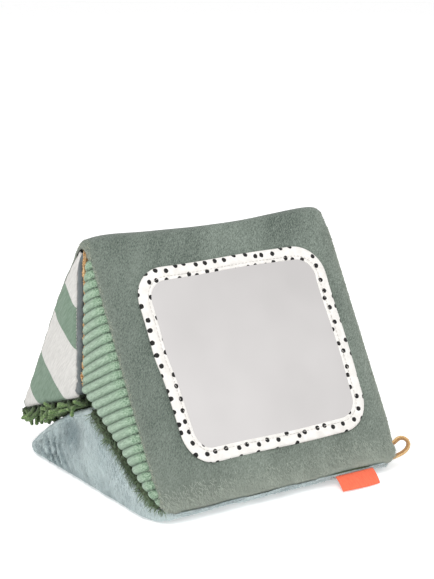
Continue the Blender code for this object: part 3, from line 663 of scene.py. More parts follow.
back_apex = ridge_axis + page_down / np.hypot(*page_down) * BACK_PAGE_LENGTH + [PAGE_GAP / 2, 0]
back_tail = back_foot + back_down * BACK_LENGTH
SHOULDER = 0.0004
front_wedge = Wedge(
    body="front",
    corners=(
        front_seam + [0, 0.0001],
        front_apex,
        ridge_axis - [PAGE_GAP / 2, 0] - front_up * SHOULDER,
        front_foot - front_up * SHOULDER,
    ),
    rounds=(0.0005, 0.013, 0.0012, 0.0008),
    wraps=(0.0018, 0.0060, COVER_LAP, COVER_LAP),
    bulges=((-LOWER_HOLLOW, 1), (-PAGE_PRESS, 1), (0, 1), (0, 1)),
    level=(1,),
    long_faces=(0, 1, 3),
    edge_round=0.004,
    swell=0.0026,
    spread=0.010,
    tuck=0.0042,
)
back_wedge = Wedge(
    body="back",
    corners=(
        ridge_axis + [PAGE_GAP / 2, 0] + back_down * SHOULDER,
        back_apex,
        back_tail,
        back_foot + back_down * SHOULDER,
    ),
    rounds=(0.0012, 0.011, 0.003, 0.0008),
    wraps=(0.0056, 0.0008, COVER_LAP, COVER_LAP),
    bulges=((PAGE_PRESS, 1), (0, 1), (0.0042, 2), (0, 1)),
    level=(0,),
    long_faces=(0, 1, 2),
    edge_round=0.0035,
    swell=0.0026,
    spread=0.010,
)


def outer_line():
    """The way over the back, the ridge and the front, in anticlockwise order."""
    back, front = back_wedge.along((2,)), front_wedge.along((3,))
    back["bow"] = BACK_CROWN * back["bow"]
    front["bow"] = FRONT_CROWN * np.minimum(1, 2 * front["bow"])
    for part, foot, onward in ((back, back_foot, back_down), (front, front_foot, -front_up)):
        keep = (part["point"] - foot) @ onward > 0.0012
        part.update({key: values[keep] for key, values in part.items()})
    angles = np.linspace(math.atan2(*back_out[::-1]), math.atan2(*front_out[::-1]), 9)
    normals = np.stack([np.cos(angles), np.sin(angles)], 1)
    arc_points = ridge_axis + normals * RIDGE_ROUND
    arc = {"point": arc_points, "normal": normals, "bow": 0 * angles, "pull": -normals}
    line = {key: np.concatenate([back[key], arc[key], front[key]]) for key in arc}
    line["run"] = run_along(line["point"])
    line["ridge_run"] = line["run"][len(back["point"]) + len(angles) // 2]
    line["from_ridge"] = np.abs(line["run"] - line["ridge_run"])
    near = np.clip(1 - line["from_ridge"] / 0.030, 0, 1)[:, None] ** 0.5
    line["pull"] = line["pull"] * (1 - near) - line["normal"] * near
    line["lap"] = COVER_LAP + 0.0024 * bell(line["from_ridge"], 0.0055)
    return line


outer = outer_line()


def ridge_height(x):
    """The ridge stands up near its ends, sags in the middle and rounds off at the corners."""
    bumps = sum(height * bell(x - place, reach) for height, place, reach in RIDGE_BUMPS)
    corner = np.clip((np.abs(x) - 0.089) / 0.012, 0, 1.2)
    return 0.0008 + bumps - np.where(x > 0, 0.0036, 0.0010) * corner ** 2


def outer_lift(run, across, edge):
    from_ridge = outer["from_ridge"][:, None]
    ridge = ridge_height(across) * bell(from_ridge, 0.010)
    full_back = 0.0013 * bell(from_ridge - 0.009, 0.009) * (run < outer["ridge_run"])
    hem = 0.0013 * bell(outer["run"][-1] - run - 0.001, 0.005)
    hem = hem * (1 - np.exp(-(((across - LABEL_PLACE) / 0.0185) ** 4)))
    hem = hem * (1 + 0.8 * np.clip((across - 0.080) / 0.014, 0, 1))
    return soft_lift(71, 0.0006)(run, across, edge) + ridge + full_back + hem


sage = plush(
    "sage_plush", (68, 81, 72), (144, 156, 145), (172, 177, 164),
    nap=-30, aslant=40, stretch=2.4, grain=0.0007, patch=0.034, share=0.25, soft=0.11,
)
# The cover is paler near its lower edge.
paler_hem = sage.times(sage.falloff("low", 0.016), 0.4)
sage.colour(sage.mix(paler_hem, sage.coloured(), srgb(172, 178, 165)))
# Painted shade: the cover is painted darker towards its left end.
left_shade = sage.node("MapRange", {0: sage.split()["X"], 1: 0.0, 2: -0.10, 3: 0.0, 4: 0.26}).outputs[0]
sage.colour(sage.mix(left_shade, sage.coloured(), srgb(66, 80, 71)))
outer_cover = panel(
    "outer_cover", front_wedge, outer, outer_lift, sage, "front_cover", "ridge_band", "back_cover",
    crown=1, rides=False,
)
fringe_pile = plush("cover_fringe", (112, 124, 108), (178, 182, 164), (170, 174, 156))
roots, normals = roots_on(outer_cover, 0.0011, 73)
edge_fringe = (np.abs(normals[:, 0]) > 0.3) & ((roots - [0, *ridge_axis]) @ [0, *front_out] > -0.006)
cover_fringe = pile(
    "cover_fringe", roots[edge_fringe], normals[edge_fringe], fringe_pile, None,
    nap=(0, 0.2, -0.3), length=0.0016, width=0.00034, rise=0.55, seed=74, stray=0.8,
)
foot_pile = plush(
    "cover_foot", (88, 103, 93), (180, 190, 178), (172, 180, 168),
    nap=-30, stretch=3.0, grain=0.0012, patch=0.014, share=0.6, soft=0.08,
)
roots, normals = roots_on(outer_cover, 0.0009, 75)
from_foot = (roots[:, 1:] - front_seam) @ front_up
thinning = 0.016 * np.random.default_rng(76).random(len(roots)) ** 1.5
lowest = np.where(np.abs(roots[:, 0] - LABEL_PLACE) < 0.019, 0.0072, 0.0034)
at_foot = (normals @ [0, *front_out] > 0.3) & (from_foot > lowest) & (from_foot < lowest + thinning)
pile(
    "cover_foot_pile", roots[at_foot], normals[at_foot], foot_pile, "front",
    nap=(0.1, *-front_up), length=0.0036, width=0.00036, rise=0.35, seed=77,
)
columns = len(outer_cover.data.vertices) // len(outer["run"])
note(outer_cover, low=np.repeat(outer["run"][-1] - outer["run"], columns))
for made in (outer_cover, cover_fringe):
    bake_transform(made)


def tubes(name, spines, radii, finish, body, *nodes, sides=7):
    """Round strands along spines that have equally many points, each closed at both ends."""
    spines = np.asarray(spines)
    tangents = np.gradient(spines, axis=1)
    tangents /= np.linalg.norm(tangents, axis=2)[..., None]
    start = np.where(np.abs(tangents[:, 0, :1]) < 0.7, [[1.0, 0, 0]], [[0, 1.0, 0]])
    turns = np.linspace(0, 2 * math.pi, sides, endpoint=False)[:, None]
    aside, rings = start, []
    for step in range(spines.shape[1]):
        tangent = tangents[:, step]
        aside = aside - tangent * np.sum(aside * tangent, axis=1)[:, None]
        aside /= np.linalg.norm(aside, axis=1)[:, None]
        across = np.cross(tangent, aside)[:, None]
        ring = aside[:, None] * np.cos(turns) + across * np.sin(turns)
        rings.append(spines[:, step, None] + ring * radii[:, step, None, None])
    points = np.stack(rings, 1)
    count, steps = points.shape[:2]
    one = np.array(grid_faces(steps, sides, closed=True, flip=True))
    caps = np.array([np.arange(sides)[::-1], np.arange(sides) + (steps - 1) * sides])
    offsets = np.arange(count)[:, None, None] * steps * sides
    faces = (one + offsets).reshape(-1, 4).tolist() + (caps + offsets).reshape(-1, sides).tolist()
    made = piece(name, points.reshape(-1, 3), faces, finish, body, *nodes)
    note(made, along=np.tile(np.linspace(0, 1, steps)[None, :, None], (count, 1, sides)))
    return made


def nubby(run, across, edge):
    loops = 0.0011 * np.abs(ripple(run, across, 0.0052, 81)) + 0.0006 * ripple(run, across, 0.0090, 82)
    return loops - SEAM_DIP * bell(edge, SEAM_WIDTH)


boucle = Finish("tan_boucle", 0.95, 0.15)
boucle.grained(
    boucle.noise(0.0021, 3.0, 0.7), 0.0016,
    (0.32, (176, 128, 76)), (0.48, (222, 176, 118)), (0.66, (242, 212, 164)),
)
upper_page = panel(
    "front_upper_boucle", front_wedge, front_wedge.along((1,), 0.0013), nubby, boucle,
    "front_upper_page", step=0.0016,
)
lower_page = panel(
    "front_lower_plush", front_wedge, front_wedge.along((0,)), soft_lift(84, 0.0004), sage,
    "front_lower_page",
)
note(lower_page, low=np.ones(len(lower_page.data.vertices)))


def curls(name, made, finish, spacing, seed):
    """Small open loops of yarn that stand out of a page's laps."""
    roots, normals = roots_on(made, spacing, seed)
    lapped = np.abs(roots[:, 0]) > HALF_WIDTH - 0.0045
    roots, normals = roots[lapped], normals[lapped]
    rng = np.random.default_rng(seed)
    along = np.cross(normals, rng.normal(0, 1, roots.shape))
    along /= np.linalg.norm(along, axis=1)[:, None]
    size = rng.uniform(0.0006, 0.0010, (len(roots), 1, 1))
    angles = np.linspace(-0.3, math.pi * 1.2, 8)[None, :, None]
    curl = along[:, None] * np.cos(angles) + normals[:, None] * (np.sin(angles) + 0.15)
    spines = roots[:, None] + size * curl
    tubes(name, spines, np.full(spines.shape[:2], 0.00034), finish, "front", sides=5)


curls("page_curls", upper_page, boucle, 0.0013, 85)
filling("front_filling", front_wedge, foam, "front_core")

# The front wedge's ends: wide-wale plush whose ribs run square to the mirror side. Each of the ribs is a full
# round roll with a deep groove beside it, tufted where it is sewn to the sage cover. Painted shade darkens
# the grooves and the ribs near that seam, and a painted highlight lightens their crests.
RIBS = 27
RIB_HEIGHT = 0.0031
RIB_STEPS = 12
RIB_RISE = {-1: 0.0030, 1: 0.0220}
RIB_BOW = 1.15
RIB_OVERLAP = 0.0006
RIB_CLOSING = 0.0008
mint = Finish("mint_corduroy", 0.9, 0.3)
fibre = mint.noise(0.0010, 3.0, 0.65, mint.turned((1, 1, 3), 60))
streaks = mint.noise(0.0009, 2.0, 0.6, mint.turned((1, 1, 5), 60))
# Painted shade and highlight: this ramp darkens the grooves and lightens the crests of the ribs.
tone = mint.ramp(
    mint.noted("rib"),
    (0.0, (8, 20, 12)), (0.40, (48, 71, 53)), (0.66, (121, 148, 124)), (1.0, (169, 194, 170)),
)
speck = mint.ramp(streaks, (0.36, (206, 212, 206)), (0.64, (255, 255, 255)))
bright = mint.ramp(fibre, (0.38, (86, 120, 92)), (0.60, (183, 207, 181)))
mint.colour(mint.mix(mint.noted("tuft"), mint.mix(1.0, tone, speck, "MULTIPLY"), bright))
mint.bump(fibre, 0.0008)


def rib_end(name, side, node):
    """A ribbed end over a grid of places up the front and depths behind it."""
    line, face = front_wedge.along((0, 1), 0.0015), front_wedge.along((3,), 0.004)
    inset = line["lap"] - RIB_OVERLAP
    page = line["point"] + line["pull"] * inset[:, None] - front_seam
    page_up, page_behind = page @ front_up, page @ -front_out
    cover = face["point"] + face["pull"] * (COVER_LAP - RIB_OVERLAP) - front_seam
    order = np.argsort(cover @ front_up)
    edge_up, edge_behind = cover[order] @ front_up, cover[order] @ -front_out
    onward = front_wedge.face(1)[1]
    closing = (page_behind[-1] - edge_behind[-1] - RIB_CLOSING) / (onward @ front_out)
    page_up = np.append(page_up, page_up[-1] + closing * (onward @ front_up))
    page_behind, inset = np.append(page_behind, edge_behind[-1] + RIB_CLOSING), np.append(inset, inset[-1])
    order = np.argsort(page_up)
    page_up, page_behind, inset = page_up[order], page_behind[order], inset[order]
    low = max(page_up[0], edge_up[0]) + 0.0010
    high = min(page_up[-1], edge_up[-1]) - 0.0012
    turn = np.linspace(0, RIBS, RIBS * RIB_STEPS + 1)[:, None]
    chance = random.Random(9)
    wander = np.array([chance.uniform(-0.35, 0.35) for _ in range(RIBS + 1)]) * 0.0010
    up = low + (high - low) * turn / RIBS
    up = up + np.interp(turn, np.arange(RIBS + 1), wander) * np.sin(np.pi * turn / RIBS)
    roll = np.abs(np.sin(np.pi * turn)) ** 0.65
    slopes = np.gradient(page_behind, page_up)
    lean = 1 / np.hypot(1, slopes[np.abs(page_up - up).argmin(axis=1)])[:, None]
    start, end = np.interp(up, edge_up, edge_behind), np.interp(up, page_up, page_behind)
    behind = start + (end - start) * np.concatenate([
        np.linspace(0, 0.10, 6), np.linspace(0.10, 0.88, 26)[1:], np.linspace(0.88, 1, 8)[1:],
    ])
    climb = np.minimum(1, np.arange(len(turn))[:, None] / len(turn) * 1.6)
    bowed = up + RIB_BOW * behind ** 2 * np.sin(np.pi * climb) ** 0.5
    seamed, paged = behind - start, np.maximum((end - behind) * lean, 0)
    wrapped = np.minimum(seamed + COVER_LAP - RIB_OVERLAP, paged + np.interp(up, page_up, inset))
    cosine = np.clip(1 - wrapped / front_wedge.edge_round, 0, 1)
    sine = np.sqrt(1 - cosine ** 2)
    dome = front_wedge.swell * (1 if side < 0 else 0.3)
    for depth in (seamed, paged):
        dome = dome * (1 - np.exp(-depth / front_wedge.spread))
    sewn = SEAM_DIP * 1.5 * (bell(seamed, SEAM_WIDTH) + bell(paged, SEAM_WIDTH))
    sewn = sewn + (0.0009 * bell(seamed, 0.0055) if side > 0 else 0)
    height = RIB_HEIGHT * (roll - 0.25) * (1 - np.exp(-seamed / RIB_RISE[side]))
    height = height * (1 - 0.4 * np.exp(-paged / 0.002))
    x = HALF_WIDTH - front_wedge.edge_round * (1 - sine) + dome - sewn + height * np.maximum(sine, 0.25)
    over = np.where(paged < seamed, cosine, 0) * height / lean
    spot = front_seam + front_up * bowed[..., None] - front_out * (behind + over)[..., None]
    x = x * (1 - front_wedge.drawn(spot.reshape(-1, 2)).reshape(x.shape) / HALF_WIDTH)
    grid = np.concatenate([side * x[..., None], spot], -1)
    faces = grid_faces(*grid.shape[:2], flip=side < 0)
    made = piece(name, grid.reshape(-1, 3), faces, mint, "front", node)
    tuft = 0.6 * bell(seamed - 0.0010, 0.0032) * np.minimum(1, roll * 1.3)
    # These values paint shade into the grooves and near the cover seam, and a highlight on each crest.
    note(made, rib=roll * (1 - 0.35 * bell(seamed, 0.0020)), tuft=tuft)
    stuffed(made)


for side, word in SIDES:
    rib_end(f"front_end_{word}_ribs", side, f"front_end_{word}")

# The clip loop: a ribbed gimp cord, laid double so that one turn lies inside the other. Both its ends
# are caught low down in the seam between the front wedge's cover and its right end.
CORD_RADIUS = 0.00088
TURN_APART = 0.00078
GIMP_PITCH = 0.0011
LOOP_STEPS = 36
up_wedge = front_up + front_wedge.face(0)[1]
up_wedge = up_wedge / np.hypot(*up_wedge)
loop_way = np.array([
    (0.0900, 0.0120), (0.0960, 0.0120), (0.1035, 0.0141), (0.1084, 0.0160),
    (0.1124, 0.0157), (0.1150, 0.0131), (0.1143, 0.0096), (0.1110, 0.0067),
    (0.1060, 0.0047), (0.0998, 0.0035), (0.0930, 0.0030), (0.0880, 0.0028),
])


def smooth_way(knots, steps):
    """An even curve through some points, which leaves out the first and the last."""
    share = np.linspace(0, 1, steps, endpoint=False)[:, None]
    parts = []
    for before, start, end, after in zip(knots, knots[1:], knots[2:], knots[3:]):
        slope, bend = (end - before) / 2, (after - start) / 2
        rest = end - start
        parts.append(
            start + slope * share + (3 * rest - 2 * slope - bend) * share ** 2
            + (slope + bend - 2 * rest) * share ** 3
        )
    return np.concatenate([*parts, knots[-2:-1]])


middle = smooth_way(loop_way, LOOP_STEPS)
heading = np.gradient(middle, axis=0)
sideways = np.stack([-heading[:, 1], heading[:, 0]], 1) / np.hypot(*heading.T)[:, None]
turns = np.stack([middle + sideways * offset for offset in (TURN_APART, -TURN_APART)])
cord_run = run_along(middle)
ribbed = CORD_RADIUS * (1 + 0.13 * np.sin(cord_run * 2 * math.pi / GIMP_PITCH))
spines = np.stack([
    turns[..., 0], front_seam[0] + up_wedge[0] * turns[..., 1], front_seam[1] + up_wedge[1] * turns[..., 1],
], -1)
cord = Finish("tan_cord", 0.7, 0.1)
strands = cord.noise(0.0009, 2.0, 0.5)
outer_tone = cord.ramp(strands, (0.30, (186, 142, 88)), (0.50, (220, 180, 122)), (0.72, (238, 208, 158)))
# Painted shade: the inner turn, which lies inside the outer one, is painted darker.
shaded_inner_tone = cord.ramp(strands, (0.30, (150, 108, 62)), (0.70, (196, 152, 100)))
cord.colour(cord.mix(cord.noted("inner"), outer_tone, shaded_inner_tone))
cord.bump(strands, 0.0004)
loop = tubes("cord_loop_gimp", spines, np.stack([ribbed, ribbed]), cord, "front", "cord_loop", sides=10)
note(loop, inner=np.repeat([0, 1], len(ribbed) * 10))

# The mirror: a soft film with a board behind it, bound all round with dotted cotton. The binding is
# stitched down near its inner edge, and it steps in towards the mirror on its lower left side.
MIRROR_MIDDLE = np.array([0.0050, 0.0984])
FRAME_HALF = np.array([0.0795, 0.0699])
FRAME_ROUND = 0.024
STITCH_IN = 0.0070
STITCH_PITCH = 0.0030


def on_front(x, up, height):
    """A place on the front face's flat middle, at a height above it."""
    up, height = np.asarray(up)[..., None], np.asarray(height)[..., None]
    spot = front_seam + front_up * up + front_out * (FRONT_CROWN + height)
    return np.concatenate([np.asarray(x)[..., None], spot], -1)


def frame_outline(count_side=40, count_corner=14):
    """The binding's outer edge as (X, up), with the directions out of it."""
    found, outs = [], []
    signs = np.array([(1, 1), (-1, 1), (-1, -1), (1, -1)])
    centres = MIRROR_MIDDLE + signs * (FRAME_HALF - FRAME_ROUND)
    for quadrant in range(4):
        turn = math.pi / 2 * (quadrant + np.linspace(0, 1, count_corner + 1))
        out = np.stack([np.cos(turn), np.sin(turn)], 1)
        arc = centres[quadrant] + out * FRAME_ROUND
        share = np.linspace(0, 1, count_side + 1)[1:-1, None]
        onward = centres[(quadrant + 1) % 4] + out[-1] * FRAME_ROUND - arc[-1]
        found += [arc, arc[-1] + onward * share]
        outs += [out, np.tile(out[-1], (count_side - 1, 1))]
    points, outs = np.concatenate(found), np.concatenate(outs)
    left = np.clip((MIRROR_MIDDLE[0] - points[:, 0]) / FRAME_HALF[0], 0, 1) ** 3
    points[:, 0] += left * 0.0015 * (1 - np.tanh((points[:, 1] - 0.098) / 0.009))
    sway = 0.0004 * np.sin(points[:, 1] / 0.013 + 1.0) + 0.0003 * np.sin(points[:, 0] / 0.015)
    return points + outs * sway[:, None], outs


outline, outline_out = frame_outline()
outline_run = run_along(outline)
band_width = 1 + 0.03 * np.sin(outline_run / 0.021)


def binding(name, finish):
    """The band as a closed ring: a soft roll with a stitched dip near its inner edge."""
    profile = (
        (0.0, 0.0003), (-0.0004, 0.0010), (0.0, 0.0017), (0.0010, 0.0022), (0.0030, 0.0025), (0.0048, 0.0024),
        (0.0062, 0.0022), (STITCH_IN, 0.0016), (0.0077, 0.0021), (0.0088, 0.0021), (0.0095, 0.0018),
        (0.0095, 0.0013), (0.0060, 0.0012), (0.0030, 0.0003),
    )
    rows = []
    for inward, height in profile:
        width = inward * band_width
        if inward == STITCH_IN:
            height = height + 0.0004 * np.abs(np.sin(outline_run * math.pi / STITCH_PITCH))
        puff = 0.00015 * np.sin(outline_run / 0.0065 + 1) * (0.001 < inward < 0.0065)
        spot = outline - outline_out * width[:, None]
        rows.append(on_front(spot[:, 0], spot[:, 1], height + puff))
    grid = np.stack(rows)
    quads = np.array(grid_faces(len(grid) + 1, len(outline), closed=True, flip=True))
    quads = quads % (len(grid) * len(outline))
    return piece(name, grid.reshape(-1, 3), quads.tolist(), finish, "front", "mirror_frame")


cotton = Finish("dotted_cotton", 0.9)
facing = cotton.turned((1, 1, 1), 60)
weave = 1
for direction in "XY":
    inputs = {"Vector": facing, "Scale": 420}
    bands = cotton.node("TexWave", inputs, wave_type="BANDS", bands_direction=direction)
    weave = cotton.times(bands.outputs["Fac"], weave)
inputs = {"Vector": facing, "Scale": 1 / 0.0083, "Randomness": 0.48}
dots = cotton.node("TexVoronoi", inputs, voronoi_dimensions="2D", feature="F1")
ragged = cotton.plus(dots.outputs["Distance"], cotton.times(cotton.noise(0.0016), 0.10))
ink = cotton.ramp(ragged, (0.256, (255, 255, 255)), (0.266, (0, 0, 0)))
clean = cotton.ramp(cotton.noise(0.006, 3.0), (0.3, (232, 229, 224)), (0.7, (246, 244, 240)))
cotton.colour(cotton.mix(ink, clean, (0.010, 0.009, 0.009, 1)))
cotton.bump(weave, 0.0001, 0.4)
binding("mirror_binding", cotton)


def stitches(name, path, outs, pitch, finish, body, radius=0.00019):
    """A row of short arched stitches along a path of points, and the way out of the fabric at each."""
    run = np.concatenate([[0], np.cumsum(np.linalg.norm(np.diff(path, axis=0), axis=1))])
    count = int(run[-1] / pitch)
    places = (np.arange(count)[:, None] + 0.2 + 0.6 * np.linspace(0, 1, 6)) * run[-1] / count
    spots, tips = (np.stack([np.interp(places, run, part) for part in kept.T], -1) for kept in (path, outs))
    arch = np.sin(np.linspace(0, math.pi, 6))[None, :, None] * 2.2 * radius - 0.6 * radius
    tubes(name, spots + tips * arch, np.full(spots.shape[:2], radius), finish, body, sides=6)


white_thread = Finish("white_thread", 0.6, 0.1)
twist = white_thread.noise(0.0006)
white_thread.colour(white_thread.ramp(twist, (0.3, (182, 178, 172)), (0.7, (226, 222, 216))))
path = outline - outline_out * (STITCH_IN * band_width)[:, None]
path = np.concatenate([path, path[:1]])
path = on_front(path[:, 0], path[:, 1], np.full(len(path), 0.0020))
outward = np.tile([0, *front_out], (len(path), 1))
stitches("binding_stitches", path, outward, STITCH_PITCH, white_thread, "front")


def mirror_plate(name, low, high, finish, node, sag):
    """A thin sheet under the binding, with the slight waves of a soft film."""
    rings = []
    for height, shares, depth in ((low, (0.02, 0.5, 1.0), 0), (high, np.linspace(1, 0.02, 22), sag)):
        for share in shares:
            spot = MIRROR_MIDDLE + (outline - outline_out * 0.0050 - MIRROR_MIDDLE) * share
            wave = depth * ripple(spot[:, 0], spot[:, 1], 0.09, 95) * (1 - share ** 4)
            rings.append(on_front(spot[:, 0], spot[:, 1], height + wave))
    grid = np.stack(rings)
    piece(name, grid.reshape(-1, 3), ring_faces(*grid.shape[:2], flip=True), finish, "front", node)


film = Finish("mirror_film", 0.10, metallic=1.0)
haze = film.noise(0.06, 2.0)
x, up, _ = film.split(film.turned((1, 1, 1), 60))
# Painted reflection: the film's tint runs from brighter at its lower left to darker at its upper right, with
# random haze.
across_film = film.times(film.plus(x, up), 2.2)
reflection_and_haze = film.plus(across_film, film.times(haze, 0.7))
film.colour(film.ramp(reflection_and_haze, (0.2, (227, 224, 223)), (0.8, (210, 207, 206))))
film.feed(film.shader.inputs["Roughness"], film.plus(film.times(haze, 0.05), 0.07))
mirror_plate("mirror_film", 0.0012, 0.0017, film, "mirror_sheet", 0.00012)
board = Finish("board", 0.7)
board.grained(board.noise(0.002, 3.0), 0.0002, (0.3, (206, 203, 196)), (0.7, (226, 224, 218)))
mirror_plate("mirror_board", 0.0003, 0.0011, board, "mirror_backing", 0.0)

# The back wedge's ends and front page: striped cotton ends, and a slate satin page that laps onto them
# and is edged with one line of pale thread.
striped = Finish("striped_cotton", 0.85, 0.05)
STRIPE_TURN = -140
sway = striped.times(striped.maths("SUBTRACT", striped.noise(0.030, 1.0), 0.5), 0.007)
level = striped.plus(striped.split(striped.turned((1, 1, 1), STRIPE_TURN))["Z"], sway)
green = 0
for low, high in ((-0.0910, -0.0650), (-0.0230, 0.0126)):
    inside = striped.maths("COMPARE", level, (low + high) / 2, (high - low) / 2)
    green = striped.plus(inside, green)
threads = striped.noise(0.0009, 2.0, 0.6, striped.turned((1, 1, 8), STRIPE_TURN))
pale = striped.ramp(threads, (0.3, (198, 196, 192)), (0.7, (218, 216, 212)))
leaf = striped.ramp(threads, (0.3, (104, 126, 108)), (0.7, (130, 150, 133)))
striped.colour(striped.mix(green, pale, leaf))
striped.bump(threads, 0.0002, 0.7)


def striped_lift(y, z, depth):
    puckers = 0.0003 * ripple(y, z, 0.007, 16) * bell(depth, 0.006)
    return puckers + 0.0006 * ripple(y, z, 0.045, 15) * np.clip(depth / 0.012, 0, 1)


for side, word in SIDES:
    end_panel(f"back_end_{word}_cotton", back_wedge, side, striped_lift, striped, f"back_end_{word}")

satin = Finish("slate_satin", 0.42, 0.1)
thread = satin.noise(0.0006, 2.0, 0.6, satin.turned((6.5, 1, 1)))
shade = satin.noise(0.012, 2.0)
# Painted shade: both of the satin's tone ramps are set dark, because the page lies in shade between the
# wedges.
worn = satin.ramp(shade, (0.3, (62, 70, 72)), (0.7, (98, 107, 109)))
satin.colour(satin.mix(0.4, worn, satin.ramp(thread, (0.3, (68, 77, 80)), (0.7, (104, 113, 115)))))
satin.bump(thread, 0.0001, 0.6)


def satin_lift(run, across, edge):
    pleats = 0.0011 * ripple(run, across * 0.2, 0.0065, 17) * np.clip(run / 0.10 - 0.1, 0.15, 1)
    roll = 0.0021 * bell(edge - 0.0068, 0.0036) - 0.0004 * bell(edge - 0.0032, 0.0012)
    return pleats + roll - SEAM_DIP * bell(edge, SEAM_WIDTH)


slate_line = back_wedge.along((0,), 0.0015)
panel("back_front_satin", back_wedge, slate_line, satin_lift, satin, "back_front_page")
for side, word in SIDES:
    spot = slate_line["point"] + slate_line["pull"] * (slate_line["lap"] - 0.0008)[:, None]
    kept = slate_line["lap"] == back_wedge.wraps[0]
    path = np.column_stack([np.full(len(spot), side * (HALF_WIDTH + 0.0002)), spot])[kept]
    outward = np.tile([side, 0, 0], (len(path), 1))
    stitches(f"slate_stitches_{word}", path, outward, 0.0024, white_thread, "back")
filling("back_filling", back_wedge, foam, "back_core")

# The noodle page: chenille noodles in rows on a backing painted dark as shade. They curl, hang over the base
# and stick out at both ends.
NOODLE_RADIUS = 0.00148
NOODLE_ROWS = 24
NOODLE_COLUMNS = 44
NOODLE_STEPS = 13
chenille = Finish("chenille", 0.92, 0.2)
fluff = chenille.noise(0.0011, 3.0, 0.7)
core_tone = chenille.ramp(fluff, (0.30, (54, 84, 40)), (0.5, (110, 140, 84)), (0.70, (178, 202, 140)))
root_shade_tone = chenille.ramp(fluff, (0.3, (18, 32, 12)), (0.7, (52, 74, 38)))
# Painted shade: each noodle is painted much darker towards its root, among the others. The backing, which
# carries no along values, is painted in this dark tone all over.
chenille.colour(chenille.mix(chenille.noted("along"), root_shade_tone, core_tone))
chenille.bump(fluff, 0.0012)
panel(
    "noodle_backing", back_wedge, back_wedge.along((1,), 0.0030), soft_lift(19, 0.0002), chenille,
    "noodle_page",
)


def base_top(y):
    """The height of the base's rear page, with its pile, under a place."""
    share = np.clip((y - base_tail[0]) / (base_apex[0] - base_tail[0]), 0, 1)
    height = base_tail[1] + (base_apex[1] - base_tail[1]) * share
    crown = base_wedge.bulges[2][0] + BASE_REAR_CROWN
    return height + crown * full(share) / abs(base_wedge.face(2)[1][0]) + 0.0015


def noodles(name):
    """Each noodle grows out of the page, bends at every step and lies down where it meets the base."""
    rng = np.random.default_rng(23)
    row, column = (kept.ravel() for kept in np.mgrid[:NOODLE_ROWS, :NOODLE_COLUMNS])
    count = len(row)
    page_start, page_run, page_length = back_wedge.face(1)
    share = (row + 0.5 + rng.uniform(-0.3, 0.3, count)) / NOODLE_ROWS
    x = (column + 0.5 + 0.4 * (row % 2 - 0.5) + rng.uniform(-0.3, 0.3, count)) / NOODLE_COLUMNS * 2 - 1
    spot = np.column_stack([x * (HALF_WIDTH - 0.0010), page_start + page_run * page_length * share[:, None]])
    aside = 0.32 * np.sign(x) * np.abs(x) ** 24 * (1 - 0.7 * share ** 4)
    outward = np.column_stack([aside, np.tile([page_run[1], -page_run[0]], (count, 1))])
    heading = outward + np.clip(rng.normal(0, 0.42, (count, 3)), -0.6, 0.6)
    heading[:, 1] -= 0.60 * share ** 4
    bend = rng.normal(0, 0.13, (count, 3)) - [0, -0.02, 0.11]
    length = rng.uniform(0.0135, 0.0200, (count, 1)) * (1 - 0.42 * share[:, None] ** 5)
    spine = [spot]
    for _ in range(NOODLE_STEPS):
        heading = heading / np.linalg.norm(heading, axis=1)[:, None] + bend
        heading /= np.linalg.norm(heading, axis=1)[:, None]
        spot = spot + heading * length / NOODLE_STEPS
        over_base = (spot[:, 1] < base_tail[0]) & (np.abs(spot[:, 0]) < HALF_WIDTH + 0.002)
        least = np.where(over_base, base_top(spot[:, 1]), 0.0003) + NOODLE_RADIUS
        low = spot[:, 2] < least
        spot[low, 1] += 0.6 * (least - spot[:, 2])[low]
        spot[low, 2] = least[low]
        heading[low, 1] = 0.5 * heading[low, 1] + 0.25
        heading[low, 2] = 0
        spine.append(spot)
    fluffy = NOODLE_RADIUS * rng.uniform(0.76, 1.20, (count, NOODLE_STEPS + 1))
    fluffy[:, -1] *= 0.55
    tubes(name, np.stack(spine, 1), fluffy, chenille, "back", sides=8)


noodles("noodles")

# The label: a plain orange ribbon, folded in two at its free end. It is sewn a little askew into the
# seam between the base and the cover, and hangs out at the front.
LABEL_STEPS = 14
LABEL_COLUMNS = 17
ribbon = Finish("orange_ribbon", 0.55, 0.1)
rep = ribbon.noise(0.0005, 2.0, 0.6, ribbon.turned((1, 8, 8)))
ribbon.grained(rep, 0.00012, (0.25, (240, 94, 58)), (0.75, (253, 122, 84)), strength=0.6)


def label(name):
    """Two layers of ribbon folded at the free end, as one closed strip."""
    low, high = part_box("label_tab")
    root = np.array([high.y - 0.0006, high.z - 0.0004])
    tip = np.array([low.y + 0.0010, low.z + 0.0009])
    share = np.linspace(0, 1, LABEL_STEPS)
    middle = root + (tip - root) * share[:, None]
    middle[:, 1] += 0.0010 * full(share)
    run = np.gradient(middle, axis=0)
    run /= np.hypot(*run.T)[:, None]
    across = np.stack([-run[:, 1], run[:, 0]], 1)
    half = np.full(LABEL_STEPS, 0.00042)
    half[-1] = 0.00022
    section = np.concatenate([middle + across * half[:, None], (middle - across * half[:, None])[::-1]])
    askew = 0.0014 * (1 - 2 * np.concatenate([share, share[::-1]]))
    hang = np.concatenate([share, share[::-1]]) ** 2
    columns = []
    for place in np.linspace(0, 1, LABEL_COLUMNS):
        longer = run[-1] * (0.0010 * full(place) - 0.0004) * hang[:, None]
        lift = 0.0004 * math.sin(place * 4.4) * hang
        strip = section + longer
        x = low.x + (high.x - low.x) * place + askew
        columns.append(np.column_stack([x, strip[:, 0], strip[:, 1] + lift]))
    grid = np.stack(columns)
    faces = ring_faces(*grid.shape[:2])
    made = piece(name, grid.reshape(-1, 3), faces, ribbon, "base", "label_tab")
    made.data.set_sharp_from_angle(angle=math.radians(50))


label("label_ribbon")

